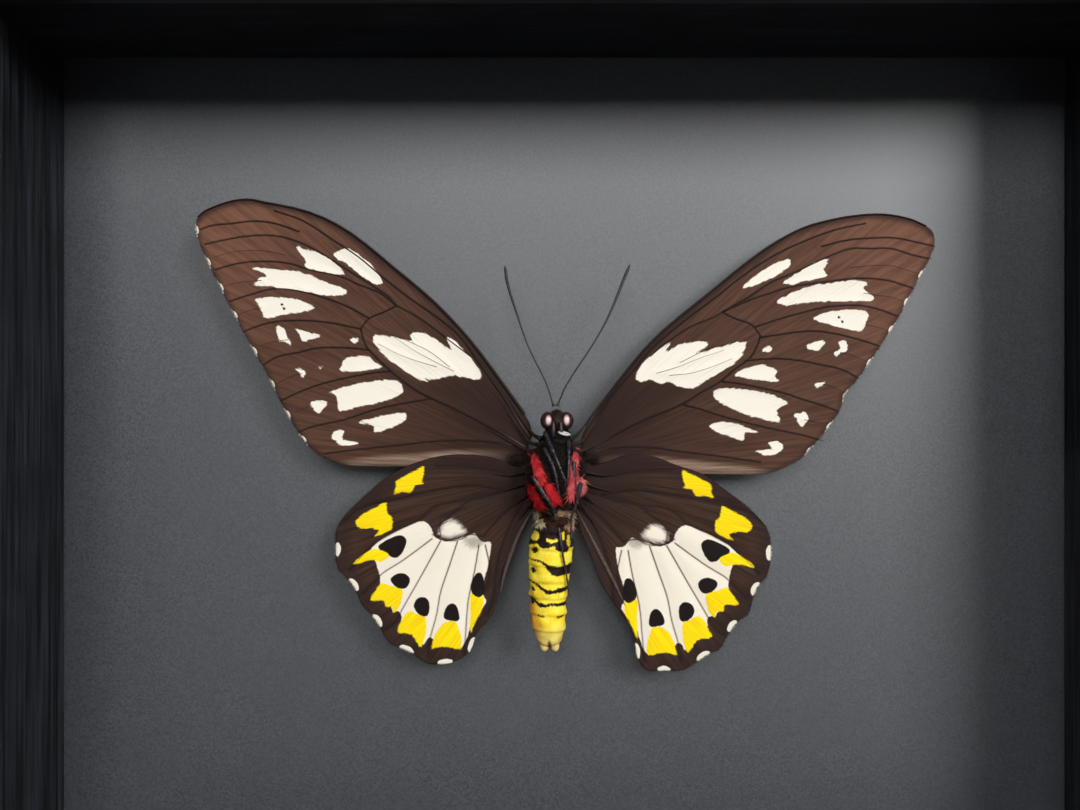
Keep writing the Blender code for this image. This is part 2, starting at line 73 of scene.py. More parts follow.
FOREWING_LEFT_WHITE: dict[str, Drawing] = {
    "tip_streak_1": [(52.5, 45), (50, 46.5), (48, 46), (44, 43), (41, 39), (42, 38), (45, 39.5),
        (49.5, 43)],
    "tip_streak_2": [(61.5, 47), (59.5, 46.5), (55, 45), (51.5, 42.5), (50, 40.5), (52.5, 40.5), (59, 42),
        (59, 43.5), (60, 45)],
    "tip_streak_3": [(71.5, 42), (65, 41.5), (60.5, 41), (54, 38.5), (50, 37), (49.5, 36), (51, 35.5),
        (55, 35.5), (60, 36.5), (67, 37.5), (71.5, 38), (70, 39), (70.5, 39.5), (68.5, 40), (69.5, 41)],
    "tip_streak_4": [(71, 34.5), (69, 35), (65, 35), (61, 34.5), (57, 32.5), (60, 31.5), (64, 31),
        (68.5, 30), (69.5, 32), (70.5, 33.5)],
    "fleck_5a": [(66, 28), (64.5, 28), (63.5, 26), (62.5, 23.5), (64, 24.5), (65.5, 25)],
    "fleck_5b": [(61.5, 27.5), (59.5, 27), (55.5, 26), (58, 25), (60, 24.5), (60.5, 26)],
    "fleck_5c": [(48.5, 25), (47.5, 25.5), (46.5, 25), (47.5, 24)],
    "fleck_6a": [(61.5, 18), (60, 18), (59, 17), (60, 16), (60.5, 17)],
    "fleck_6b": [(56.5, 18.5), (55, 18.5), (55.5, 18)],
    "disc_spot_7": [(51, 18), (49.5, 20.5), (47, 21), (44.5, 21), (42.5, 19.5), (41, 18.5), (43, 18),
        (47, 17.5), (49.5, 17.5)],
    "disc_spot_8": [(53.5, 12.5), (49, 14), (44, 15), (39.5, 15.5), (37, 15), (36, 13), (37.5, 11.5),
        (42, 10), (47, 9), (51, 8), (51.5, 10), (52, 12)],
    "fleck_8": [(58, 9.5), (57, 10.5), (54, 10), (56, 7.5), (57, 8.5)],
    "disc_spot_9": [(46.5, 5.5), (43, 6.5), (38, 7.5), (35.5, 7.5), (35.5, 6), (38, 4.5), (42.5, 3),
        (43, 4.5), (44.5, 5)],
    "hook_9": [(53, 2), (52, 3.5), (50, 3.5), (50.5, 1.5), (49, 1), (46.5, 0.5), (48.5, 0), (51, 0),
        (52, 1)],
    "cell_patch": [(43, 26), (38, 25.5), (34, 24.5), (32.5, 23.5), (34, 25), (34, 26.5), (31, 26.5),
        (27.5, 24.5), (24.5, 22.5), (25.5, 24.5), (25.5, 25.5), (23.5, 24.5), (19.5, 20), (17.5, 16.5),
        (19, 15.5), (24, 16.5), (29, 15.5), (31, 16), (30, 15), (33, 16), (39, 20), (42, 23)],
}
FOREWING_RIGHT_WHITE: dict[str, Drawing] = {
    "tip_streak_1": [(44.5, 37.5), (48, 40.5), (51, 42.5), (53.5, 43.5), (55.5, 44), (55.5, 42.5),
        (53, 40.5), (48, 38), (46, 37.5)],
    "tip_streak_2": [(54, 38.5), (57, 40.5), (61, 43), (64.5, 44), (64, 42.5), (63.5, 41.5), (64, 40),
        (58, 38.5), (56, 38)],
    "tip_streak_3": [(52.5, 34), (55, 35.5), (60, 37.5), (66, 38.5), (72, 39), (74, 38), (73, 37),
        (75.5, 34.5), (70, 34), (63, 34), (57.5, 33.5), (54.5, 33)],
    "tip_streak_4": [(61, 30), (65, 31.5), (70, 32), (74, 31.5), (73.5, 29), (72.5, 27), (69, 27.5),
        (65, 28.5)],
    "fleck_5a": [(59.5, 23.5), (61.5, 24.5), (64, 24.5), (63, 23), (62, 22.5), (60.5, 22.5)],
    "fleck_5b": [(67, 24.5), (69, 24.5), (69, 22), (67.5, 22), (66.5, 21), (66, 22), (67.5, 23)],
    "fleck_6a": [(49, 22.5), (50.5, 23.5), (51.5, 23), (50.5, 22)],
    "fleck_6b": [(61.5, 14.5), (64, 15), (62, 13.5)],
    "disc_spot_7": [(42.5, 16.5), (44.5, 18), (48.5, 19), (51, 18.5), (52.5, 17.5), (52, 16), (53.5, 15),
        (47.5, 15.5), (44.5, 16)],
    "disc_spot_8": [(37.5, 11.5), (38, 13), (41, 13.5), (46, 13), (51, 12), (55, 10), (53, 9),
        (52.5, 7.5), (53, 5.5), (46, 7), (40, 9.5)],
    "fleck_8": [(56.5, 7.5), (58, 7.5), (59, 8), (60, 6.5), (58.5, 4.5), (57.5, 5.5)],
    "disc_spot_9": [(36.5, 4.5), (39, 5.5), (43, 5), (48, 3), (45, 3), (44.5, 1), (41.5, 2), (38.5, 3)],
    "hook_9": [(50.5, 0.5), (52.5, 1), (54, -0.5), (52.5, -2), (50.5, -2.5), (47.5, -1.5), (50, -1),
        (51.5, -1)],
    "cell_patch": [(19, 16), (20.5, 19), (23, 21.5), (27.5, 24.5), (26, 22), (30, 24), (35.5, 24.5),
        (36, 23.5), (33, 21.5), (38, 23), (44.5, 24.5), (45, 23), (42.5, 19.5), (36, 15.5), (32.5, 13.5),
        (29, 14), (27, 15), (25, 14.5), (22.5, 15.5), (20.5, 15)],
}
FOREWING_LEFT_VEINS: dict[str, Drawing] = {
    "radius": [(6, 2), (9.5, 7), (13, 12.5), (18, 19.5), (21.5, 24.5), (25.5, 28.5), (34, 34.5),
        (40.5, 39.5), (46.5, 44.5), (52.5, 48.5), (59.5, 53), (66.5, 55.5)],
    "cubitus": [(7, -0.5), (13, 3), (22.5, 8), (32, 12.5), (37, 16), (40.5, 19), (43.5, 22), (45, 24),
        (46, 27.5)],
    "upper_cell": [(20, 21), (26, 25.5), (32, 30), (37.5, 33)],
    "cell_end": [(37.5, 33), (40.5, 31.5), (44, 30), (46, 27.5)],
    "branch_1": [(84, 51), (81, 52), (76, 52.5), (71.5, 53), (66.5, 52.5), (60.5, 50.5)],
    "branch_2": [(83, 47.5), (78.5, 48.5), (72.5, 49.5), (66, 49.5), (60.5, 48), (55.5, 45.5), (50, 42),
        (40.5, 36), (37.5, 33)],
    "branch_3": [(80.5, 41.5), (75, 43), (69, 43.5), (63, 43), (58, 41.5), (51, 40), (46.5, 38),
        (41.5, 36), (37.5, 33)],
    "branch_4": [(77, 34), (72.5, 35.5), (66.5, 37), (60.5, 36.5), (53.5, 34.5), (48.5, 32.5), (44, 30)],
    "branch_5": [(73.5, 27), (67.5, 29), (60.5, 29.5), (53.5, 29), (46, 27.5)],
    "branch_6": [(69, 19), (65.5, 21), (60.5, 22), (56, 23), (48.5, 23), (44, 22.5)],
    "branch_7": [(65, 10.5), (59.5, 13), (53.5, 15), (44, 17), (39, 17.5)],
    "branch_8": [(61, 3), (57, 4.5), (50, 6), (44, 8), (38, 9.5), (29.5, 11)],
    "anal": [(9.5, 0), (18, 1), (27.5, 1), (37, 0), (46.5, -1), (54.5, -2)],
}
FOREWING_RIGHT_VEINS: dict[str, Drawing] = {
    "radius": [(6.5, 1), (10, 6.5), (14, 12.5), (18.5, 17.5), (22.5, 22.5), (27, 26.5), (32, 30.5),
        (38, 35), (45, 40.5), (52, 45), (59.5, 48.5), (66.5, 51), (73.5, 52.5)],
    "cubitus": [(7, -1), (10.5, 0.5), (20, 5.5), (29.5, 9.5), (34.5, 12.5), (39, 15), (42.5, 18),
        (46, 20.5), (48, 24), (48.5, 26)],
    "upper_cell": [(22.5, 21), (26, 24), (32, 28), (37, 30), (39.5, 31.5)],
    "cell_end": [(39.5, 31.5), (42.5, 30), (45.5, 29), (47, 28), (48.5, 26)],
    "branch_1": [(90, 47), (85.5, 48), (80.5, 49), (75, 49), (69, 48.5), (63, 47)],
    "branch_2": [(89, 44), (84.5, 45), (79.5, 46.5), (75, 46.5), (70, 46.5), (65.5, 45), (57, 41),
        (51, 38.5), (46.5, 35.5), (39.5, 31.5)],
    "branch_3": [(85, 37), (82, 38), (78.5, 39), (72.5, 39.5), (66.5, 39), (56, 37.5), (51, 36),
        (46.5, 34.5), (39.5, 31.5)],
    "branch_4": [(81, 30.5), (77, 32), (72.5, 33), (67.5, 33), (63, 32.5), (53.5, 30), (47.5, 28)],
    "branch_5": [(76.5, 23.5), (73.5, 24.5), (70, 25.5), (65.5, 26.5), (59.5, 27), (48.5, 25.5)],
    "branch_6": [(71.5, 16), (67.5, 18), (63, 19), (58, 20), (52, 20.5), (45, 20)],
    "branch_7": [(67, 8), (63, 9.5), (58, 11), (53.5, 12.5), (44, 14.5), (39.5, 15)],
    "branch_8": [(63.5, 1), (58, 2.5), (48.5, 4.5), (39, 7), (34.5, 8.5), (30.5, 9.5)],
    "anal": [(9, -1.5), (15.5, -0.5), (22.5, -0.5), (29.5, -1.5), (38, -2.5), (48.5, -4)],
}
FOREWING_LEFT_FOLDS: list[Drawing] = [
    [(82, 44), (77.5, 45.5), (73.5, 46), (69, 46), (64, 45)],
    [(78.5, 37.5), (75, 38.5), (69.5, 39)],
    [(75, 31), (72, 32), (69.5, 32.5)],
    [(70, 23.5), (66.5, 24.5), (63, 25)],
    [(66, 14.5), (63, 16), (60, 17)],
    [(62.5, 7.5), (60, 8.5), (57.5, 9.5)],
    [(45, 29), (40.5, 27), (33.5, 24), (29.5, 22), (25, 18.5)],
    [(42, 24), (37, 21.5), (33, 20), (28, 18.5)],
    [(38, 25.5), (33.5, 22.5), (29, 20), (24, 17.5)],
]
FOREWING_RIGHT_FOLDS: list[Drawing] = [
    [(86.5, 40.5), (83, 41.5), (79.5, 42.5), (75, 42.5), (70, 42)],
    [(82.5, 34), (79.5, 35), (76, 35.5), (73, 36)],
    [(79, 27), (76, 28), (73.5, 28.5)],
    [(74.5, 19.5), (71, 21), (67.5, 22)],
    [(68.5, 12), (66.5, 13.5), (63.5, 14.5)],
    [(65, 5), (61.5, 5.5), (59, 6)],
    [(47, 26), (42.5, 24.5), (38.5, 23.5), (34.5, 22), (29.5, 19.5)],
    [(42, 20.5), (37, 18.5), (32, 17), (27, 16.5)],
    [(40, 22.5), (34, 20.5), (29, 18.5), (24, 17)],
]
FOREWING_LEFT_LUNULES: Drawing = [(84.5, 51), (82, 43.5), (79, 37.5), (75.5, 31), (71, 22.5), (67, 14.5),
    (63, 7.5), (59.5, 1.5)]
FOREWING_RIGHT_LUNULES: Drawing = [(86.5, 40.5), (83, 34), (79.5, 27.5), (74.5, 19.5), (69, 11.5),
    (65, 4.5), (60.5, -1.5)]

HINDWING_CREAM: dict[str, Drawing] = {
    "fan": [(47.5, -28), (45.5, -25.5), (42.5, -23), (38, -20.5), (32, -18), (30, -18.5), (29, -20),
        (28.5, -21.5), (26.5, -22.5), (24.5, -22.5), (20, -21), (19, -20.5), (17, -22), (14.5, -22.5),
        (15, -28), (16.5, -34), (15.5, -37), (17.5, -40), (19, -42), (20.5, -46.5), (22.5, -48.5),
        (27.5, -47.5), (28.5, -48.5), (29.5, -46), (31, -48), (34, -45), (37, -44), (37, -40),
        (38.5, -40), (40.5, -36.5), (43.5, -36.5), (42, -33), (42.5, -29.5), (43.5, -27)],
}
HINDWING_DUSTED: dict[str, Drawing] = {
    "cell_spot": [(27, -21), (26.5, -19), (25, -18), (23.5, -18), (22, -19.5), (21.5, -20.5),
        (25, -21.5)],
}
HINDWING_YELLOW: dict[str, Drawing] = {
    "upper_1": [(38, -11.5), (37.5, -10), (37.5, -8.5), (35, -7), (33, -6), (31, -5), (31, -7),
        (31.5, -8.5), (31, -9), (33, -9.5), (34, -11), (36, -11)],
    "upper_2": [(47, -18), (45, -16), (42, -14.5), (40, -13.5), (39.5, -16), (38.5, -17), (38.5, -19.5),
        (40, -20.5), (42.5, -21.5), (41.5, -20), (43.5, -19.5), (46, -19.5)],
    "tooth_1": [(47.5, -28), (45.5, -26), (43, -24.5), (40.5, -24.5), (39, -25.5), (39.5, -26.5),
        (41, -27.5), (43.5, -27)],
    "tooth_2": [(43.5, -36.5), (42.5, -34.5), (41, -32.5), (39, -33), (36, -34), (36.5, -37.5),
        (38, -39.5), (38.5, -38), (40, -38), (40.5, -36.5)],
    "tooth_3": [(37, -44), (36.5, -42), (35.5, -40), (34, -39), (32, -40), (30.5, -40.5), (30.5, -44),
        (31.5, -47.5), (32.5, -46.5), (34, -44.5)],
    "tooth_4": [(29, -48), (28.5, -45), (27, -42.5), (25.5, -41.5), (23.5, -41.5), (22.5, -44), (22, -46),
        (22.5, -48), (25, -47.5), (27.5, -47.5)],
    "tooth_5": [(20, -35), (18, -35), (17, -35.5), (17, -38), (18, -40), (19, -42), (20, -44), (20, -39)],
}
HINDWING_SPOTS: dict[str, Drawing] = {
    "spot_1": [(41.5, -24), (39.5, -22.5), (37, -21.5), (35.5, -22), (35.5, -23.5), (37, -26),
        (38.5, -26), (39.5, -25)],
    "spot_2": [(38.5, -31.5), (37, -30.5), (35.5, -30.5), (34.5, -31.5), (35, -33), (36, -33.5),
        (37.5, -33)],
    "spot_3": [(33, -38), (32.5, -36.5), (31, -36), (30, -37), (30, -39), (30.5, -40), (32, -39.5)],
    "spot_4": [(26, -40.5), (25.5, -38.5), (24.5, -37.5), (23.5, -38), (23, -39.5), (23, -41),
        (24.5, -41)],
    "spot_5": [(19.5, -34.5), (19.5, -32.5), (18.5, -30.5), (17.5, -30.5), (17, -32.5), (17, -34.5),
        (18, -35.5)],
}
HINDWING_VEINS: dict[str, Drawing] = {
    "subcosta": [(12, -6.5), (17, -5.5), (22.5, -5), (28, -5)],
    "radius": [(12, -10.5), (20, -9.5), (30, -11), (37, -12.5), (42, -13.5), (46.5, -15), (50.5, -18.5)],
    "median": [(9.5, -10), (18, -12.5), (27.5, -14), (32, -17.5), (38, -20.5), (43.5, -24),
        (48.5, -29.5)],
    "upper_cell": [(8.5, -9.5), (14.5, -11), (19.5, -12.5), (23.5, -15.5), (27, -18.5), (27, -21.5)],
    "cubitus": [(8, -12.5), (12, -16), (14.5, -18.5), (17, -21.5)],
    "cell_end": [(29, -21), (27, -22), (24.5, -22.5), (22, -22), (20, -21), (17, -21.5)],
    "branch_1": [(29, -22), (33, -25), (36.5, -27.5), (40.5, -30), (42.5, -32), (45.5, -35)],
    "branch_2": [(27, -22.5), (29.5, -27), (32, -31.5), (34, -35), (36, -38.5), (38, -42), (41, -44)],
    "branch_3": [(23, -22.5), (25, -28.5), (27, -34.5), (28, -40), (29.5, -45.5), (30, -49.5)],
    "branch_4": [(18, -23.5), (19, -29.5), (20.5, -36.5), (21, -42.5), (21.5, -49.5)],
    "branch_5": [(16.5, -23.5), (15.5, -28.5), (16, -32.5), (17, -34.5)],
    "anal": [(6.5, -12), (10, -17.5), (12.5, -23.5), (14, -29.5), (14.5, -35.5), (16, -40)],
}
HINDWING_LUNULES: Drawing = [(50.5, -24.5), (47, -32.5), (41.5, -41), (35, -48), (26, -50.5), (19.5, -47)]


# Small tools ------------------------------------------------------------------------------

def tone(red: float, green: float, blue: float) -> Colour:
    """Turn display values from 0 to 255 into a linear colour with full alpha."""
    linear = [((value / 255.0 + 0.055) / 1.055) ** 2.4 for value in (red, green, blue)]
    return (linear[0], linear[1], linear[2], 1.0)


def flowing(points: Drawing | np.ndarray, steps: int, closed: bool = False) -> np.ndarray:
    """Draw a smooth line through every given point.

    Args:
        points: The points to pass through, in two or three dimensions.
        steps: Number of stretches between two given points.
        closed: Whether the line returns to its first point.

    Returns:
        The points along the smooth line.
    """
    knots = np.asarray(points, float)
    if closed:
        padded = np.vstack([knots[-1:], knots, knots[:2]])
    else:
        padded = np.vstack([2.0 * knots[:1] - knots[1:2], knots, 2.0 * knots[-1:] - knots[-2:-1]])
    share = np.linspace(0.0, 1.0, steps, endpoint=False)[:, None]
    pieces = []
    for before, start, end, after in zip(padded, padded[1:], padded[2:], padded[3:]):
        pieces.append(0.5 * (2.0 * start + (end - before) * share
                             + (2.0 * before - 5.0 * start + 4.0 * end - after) * share ** 2
                             + (3.0 * start - before - 3.0 * end + after) * share ** 3))
    if not closed:
        pieces.append(knots[-1:])
    return np.vstack(pieces)


def line_distance(points: np.ndarray, start: np.ndarray, end: np.ndarray) -> np.ndarray:
    """Measure how far each point lies from a chain of straight stretches.

    Args:
        points: Points in the plane, one a row.
        start: First point of each stretch.
        end: Last point of each stretch.

    Returns:
        The distance of each point from its nearest stretch.
    """
    along = end - start
    reach = points[:, None, :] - start[None, :, :]
    share = np.clip((reach * along).sum(2) / np.maximum((along ** 2).sum(1), 1e-12), 0.0, 1.0)
    return np.sqrt(((reach - share[..., None] * along) ** 2).sum(2)).min(1)


def path_distance(points: np.ndarray, drawings: list[Drawing], steps: int = 4,
                  reach: float = 6.0) -> np.ndarray:
    """Measure how far each point lies from the nearest of several smooth open lines.

    Args:
        points: Points in the plane, one a row.
        drawings: The lines to measure from.
        steps: Stretches drawn between two given points of a line.
        reach: Distance past which a line is not looked at.

    Returns:
        The distance of each point, at most reach.
    """
    nearest = np.full(len(points), reach)
    for drawing in drawings:
        path = flowing(drawing, steps)
        close = ((points > path.min(0) - reach) & (points < path.max(0) + reach)).all(1)
        if close.any():
            found = line_distance(points[close], path[:-1], path[1:])
            nearest[close] = np.minimum(nearest[close], found)
    return nearest


def mark_distance(points: np.ndarray, drawings: list[Drawing], steps: int = 4,
                  reach: float = 2.5) -> np.ndarray:
    """Measure how far each point lies outside the nearest of several closed marks.

    Args:
        points: Points in the plane, one a row.
        drawings: Outlines of the marks.
        steps: Stretches drawn between two given points of an outline.
        reach: Distance past which a mark is not looked at.

    Returns:
        The distance of each point, at most reach and negative inside a mark.
    """
    nearest = np.full(len(points), reach)
    for drawing in drawings:
        start = flowing(drawing, steps, closed=True)
        end = np.roll(start, -1, axis=0)
        close = ((points > start.min(0) - reach) & (points < start.max(0) + reach)).all(1)
        if not close.any():
            continue
        near = points[close]
        level = near[:, 1][:, None]
        spans = (start[:, 1] > level) != (end[:, 1] > level)
        rise = np.where(np.abs(end[:, 1] - start[:, 1]) < 1e-9, 1e-9, end[:, 1] - start[:, 1])
        crossing = start[:, 0] + (level - start[:, 1]) / rise * (end[:, 0] - start[:, 0])
        inside = (spans & (near[:, 0][:, None] < crossing)).sum(1) % 2 == 1
        found = line_distance(near, start, end) * np.where(inside, -1.0, 1.0)
        nearest[close] = np.minimum(nearest[close], found)
    return nearest


def centre_line(node: str, stations: int) -> np.ndarray:
    """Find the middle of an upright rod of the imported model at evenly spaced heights.

    Args:
        node: Name of the rod's node.
        stations: Number of heights between the two ends.

    Returns:
        Points from the top of the rod to its foot.
    """
    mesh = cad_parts[node].data
    corners = np.array([vert.co for vert in mesh.vertices])
    edges = np.array([edge.vertices for edge in mesh.edges])
    first, last = corners[edges[:, 0]], corners[edges[:, 1]]
    points = []
    for height in np.linspace(corners[:, 2].max(), corners[:, 2].min(), stations + 2)[1:-1]:
        cut = (first[:, 2] > height) != (last[:, 2] > height)
        share = (height - first[cut, 2]) / (last[cut, 2] - first[cut, 2])
        points.append((first[cut] + share[:, None] * (last[cut] - first[cut])).mean(0))
    top, foot = 2.0 * points[0] - points[1], 2.0 * points[-1] - points[-2]
    return np.array([top, *points, foot])


def body_front(x: np.ndarray, z: np.ndarray) -> np.ndarray:
    """Return the depth of the body's front over the thorax and the abdomen.

    Args:
        x: Places across, in metres.
        z: Heights, in metres.

    Returns:
        The depth (y) at each place, in metres.
    """
    fronts = []
    wing_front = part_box("hindwing_left")[0].y
    for node, squareness in (("thorax", 2.0), ("abdomen", 16.0)):
        low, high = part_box(node)
        middle, radii = (low + high) / 2.0, (high - low) / 2.0
        spread = (np.abs((x - middle.x) / radii.x) ** 2.0
                  + np.abs((z - middle.z) / radii.z) ** squareness)
        front = middle.y - radii.y * np.sqrt(np.clip(1.0 - spread, 0.0, 1.0))
        fronts.append(np.where(spread < 1.0, front, wing_front))
    return np.minimum(*fronts)


def sweep(bm: bmesh.types.BMesh, path: np.ndarray, radii: np.ndarray, sides: int = 8,
          material: int = 0) -> None:
    """Draw a round section along a path, with its own radius at each point.

    Args:
        bm: The mesh that the rod is added to.
        path: Points along the rod's middle.
        radii: Radius at each point.
        sides: Number of sides of the section.
        material: Material slot of the rod's faces.
    """
    rod = bmesh.new()
    points = [Vector(point) for point in path]
    heading = (points[1] - points[0]).normalized()
    turn = heading.to_track_quat("Z", "Y")
    ring = bmesh.ops.create_circle(rod, cap_ends=True, segments=sides, radius=1.0)["verts"]
    face = next(iter(ring[0].link_faces))
    station = Matrix.LocRotScale(points[0], turn, Vector([float(radii[0])] * 3))
    bmesh.ops.transform(rod, matrix=station, verts=ring)
    for index in range(1, len(points)):
        ahead = points[min(index + 1, len(points) - 1)] - points[index - 1]
        turn = heading.rotation_difference(ahead.normalized()) @ turn
        heading = ahead.normalized()
        following = Matrix.LocRotScale(points[index], turn, Vector([float(radii[index])] * 3))
        grown = bmesh.ops.extrude_face_region(rod, geom=[face])["geom"]
        if index > 1:
            bmesh.ops.delete(rod, geom=[face], context="FACES_ONLY")
        ring = [item for item in grown if isinstance(item, bmesh.types.BMVert)]
        face = next(item for item in grown if isinstance(item, bmesh.types.BMFace))
        bmesh.ops.transform(rod, matrix=following @ station.inverted(), verts=ring)
        station = following
    bmesh.ops.recalc_face_normals(rod, faces=rod.faces)
    if rod.calc_volume(signed=True) < 0.0:
        bmesh.ops.reverse_faces(rod, faces=rod.faces)
    for face in rod.faces:
        face.material_index = material
        face.smooth = True
    mesh = bpy.data.meshes.new("rod")
    rod.to_mesh(mesh)
    rod.free()
    bm.from_mesh(mesh)
    bpy.data.meshes.remove(mesh)


def slice_up(bm: bmesh.types.BMesh, faces: list[bmesh.types.BMFace], axis: int, low: float,
             high: float, strips: int) -> None:
    """Cut faces into even strips across an axis, by halving them again and again.

    Args:
        bm: The mesh that holds the faces.
        faces: The faces to cut.
        axis: Number of the axis that the cuts stand across.
        low: Where the faces start along the axis.
        high: Where they end.
        strips: Number of strips.
    """
    if strips < 2 or not faces:
        return
    first = strips // 2
    place = Vector((0.0, 0.0, 0.0))
    normal = Vector((0.0, 0.0, 0.0))
    place[axis] = low + (high - low) * first / strips
    normal[axis] = 1.0
    edges = {edge for face in faces for edge in face.edges}
    verts = {vert for face in faces for vert in face.verts}
    cut = bmesh.ops.bisect_plane(bm, geom=[*verts, *edges, *faces], plane_co=place,
                                 plane_no=normal, dist=MICRON)["geom"]
    pieces = [item for item in cut if isinstance(item, bmesh.types.BMFace)]
    below = [face for face in pieces if face.calc_center_median()[axis] < place[axis]]
    above = [face for face in pieces if face.calc_center_median()[axis] >= place[axis]]
    slice_up(bm, below, axis, low, place[axis], first)
    slice_up(bm, above, axis, place[axis], high, strips - first)


def placed(name: str, shape: bmesh.types.BMesh | bpy.types.Mesh, materials: list[Material],
           replaces: tuple[str, ...] = ()) -> bpy.types.Object:
    """Put a shape in the scene as a piece of the specimen.

    Args:
        name: Name of the piece.
        shape: Its mesh, already in place. One being worked on is freed by this call.
        materials: Materials of the piece, in slot order.
        replaces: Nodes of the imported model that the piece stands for.

    Returns:
        The piece.
    """
    mesh = shape
    if isinstance(shape, bmesh.types.BMesh):
        bmesh.ops.recalc_face_normals(shape, faces=shape.faces)
        mesh = bpy.data.meshes.new(name)
        shape.to_mesh(mesh)
        shape.free()
    for material in materials:
        mesh.materials.append(material)
    piece = bpy.data.objects.new(name, mesh)
    bpy.context.scene.collection.objects.link(piece)
    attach(piece, "root")
    if replaces:
        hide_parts(*replaces)
    LOG.info("%s: %d faces", name, len(mesh.polygons))
    return piece


def corners_of(bm: bmesh.types.BMesh) -> np.ndarray:
    """Read where the vertices of a mesh being worked on are, one a row."""
    return np.array([vert.co for vert in bm.verts])


def unit(rows: np.ndarray) -> np.ndarray:
    """Bring each row to a length of one."""
    return rows / np.linalg.norm(rows, axis=1, keepdims=True)


def shares(path: np.ndarray) -> np.ndarray:
    """Return how far along a path each of its points is, from 0 to 1."""
    return np.linspace(0.0, 1.0, len(path))


def write_field(mesh: bpy.types.Mesh, name: str, values: np.ndarray) -> None:
    """Store one number for each vertex under a name that materials can read."""
    layer = mesh.attributes.new(name, "FLOAT", "POINT")
    layer.data.foreach_set("value", np.asarray(values, np.float32))


def vertices_of(mesh: bpy.types.Mesh) -> np.ndarray:
    """Read where a mesh's vertices are.

    Args:
        mesh: The mesh.

    Returns:
        Its vertices, one a row, in metres.
    """
    flat = np.empty(len(mesh.vertices) * 3)
    mesh.vertices.foreach_get("co", flat)
    return flat.reshape(-1, 3)


def roughened(points: np.ndarray, size: float, seed: int) -> np.ndarray:
    """Return a smooth wavering value from -1 to 1 at each point.

    Args:
        points: Points in metres, one a row.
        size: Distance over which the value wavers once, in metres.
        seed: Picks the pattern.

    Returns:
        One value for each point.
    """
    random = np.random.default_rng(seed)
    total = np.zeros(len(points))
    waves = 9
    for _ in range(waves):
        direction = random.normal(size=3)
        direction *= 2.0 * math.pi / size / np.linalg.norm(direction) * random.uniform(0.6, 1.6)
        total += np.sin(points @ direction + random.uniform(0.0, 2.0 * math.pi))
    return total / waves * 1.8


def ball(middle: Vector | np.ndarray, radii: Vector | np.ndarray, swell: float, size: float,
         seed: int) -> bmesh.types.BMesh:
    """Model an ellipsoid whose skin wavers in and out.

    Args:
        middle: Its middle.
        radii: Half of its size along each axis.
        swell: How far the skin wavers.
        size: Distance over which it wavers once.
        seed: Picks the pattern.

    Returns:
        The ellipsoid.
    """
    bm = bmesh.new()
    bmesh.ops.create_uvsphere(bm, u_segments=40, v_segments=28, radius=1.0)
    bmesh.ops.scale(bm, vec=Vector(radii), verts=bm.verts)
    bmesh.ops.translate(bm, vec=Vector(middle), verts=bm.verts)
    bumps = roughened(corners_of(bm), size, seed)
    for vert, bump in zip(bm.verts, bumps):
        vert.co += vert.normal * swell * bump
    for face in bm.faces:
        face.smooth = True
    return bm


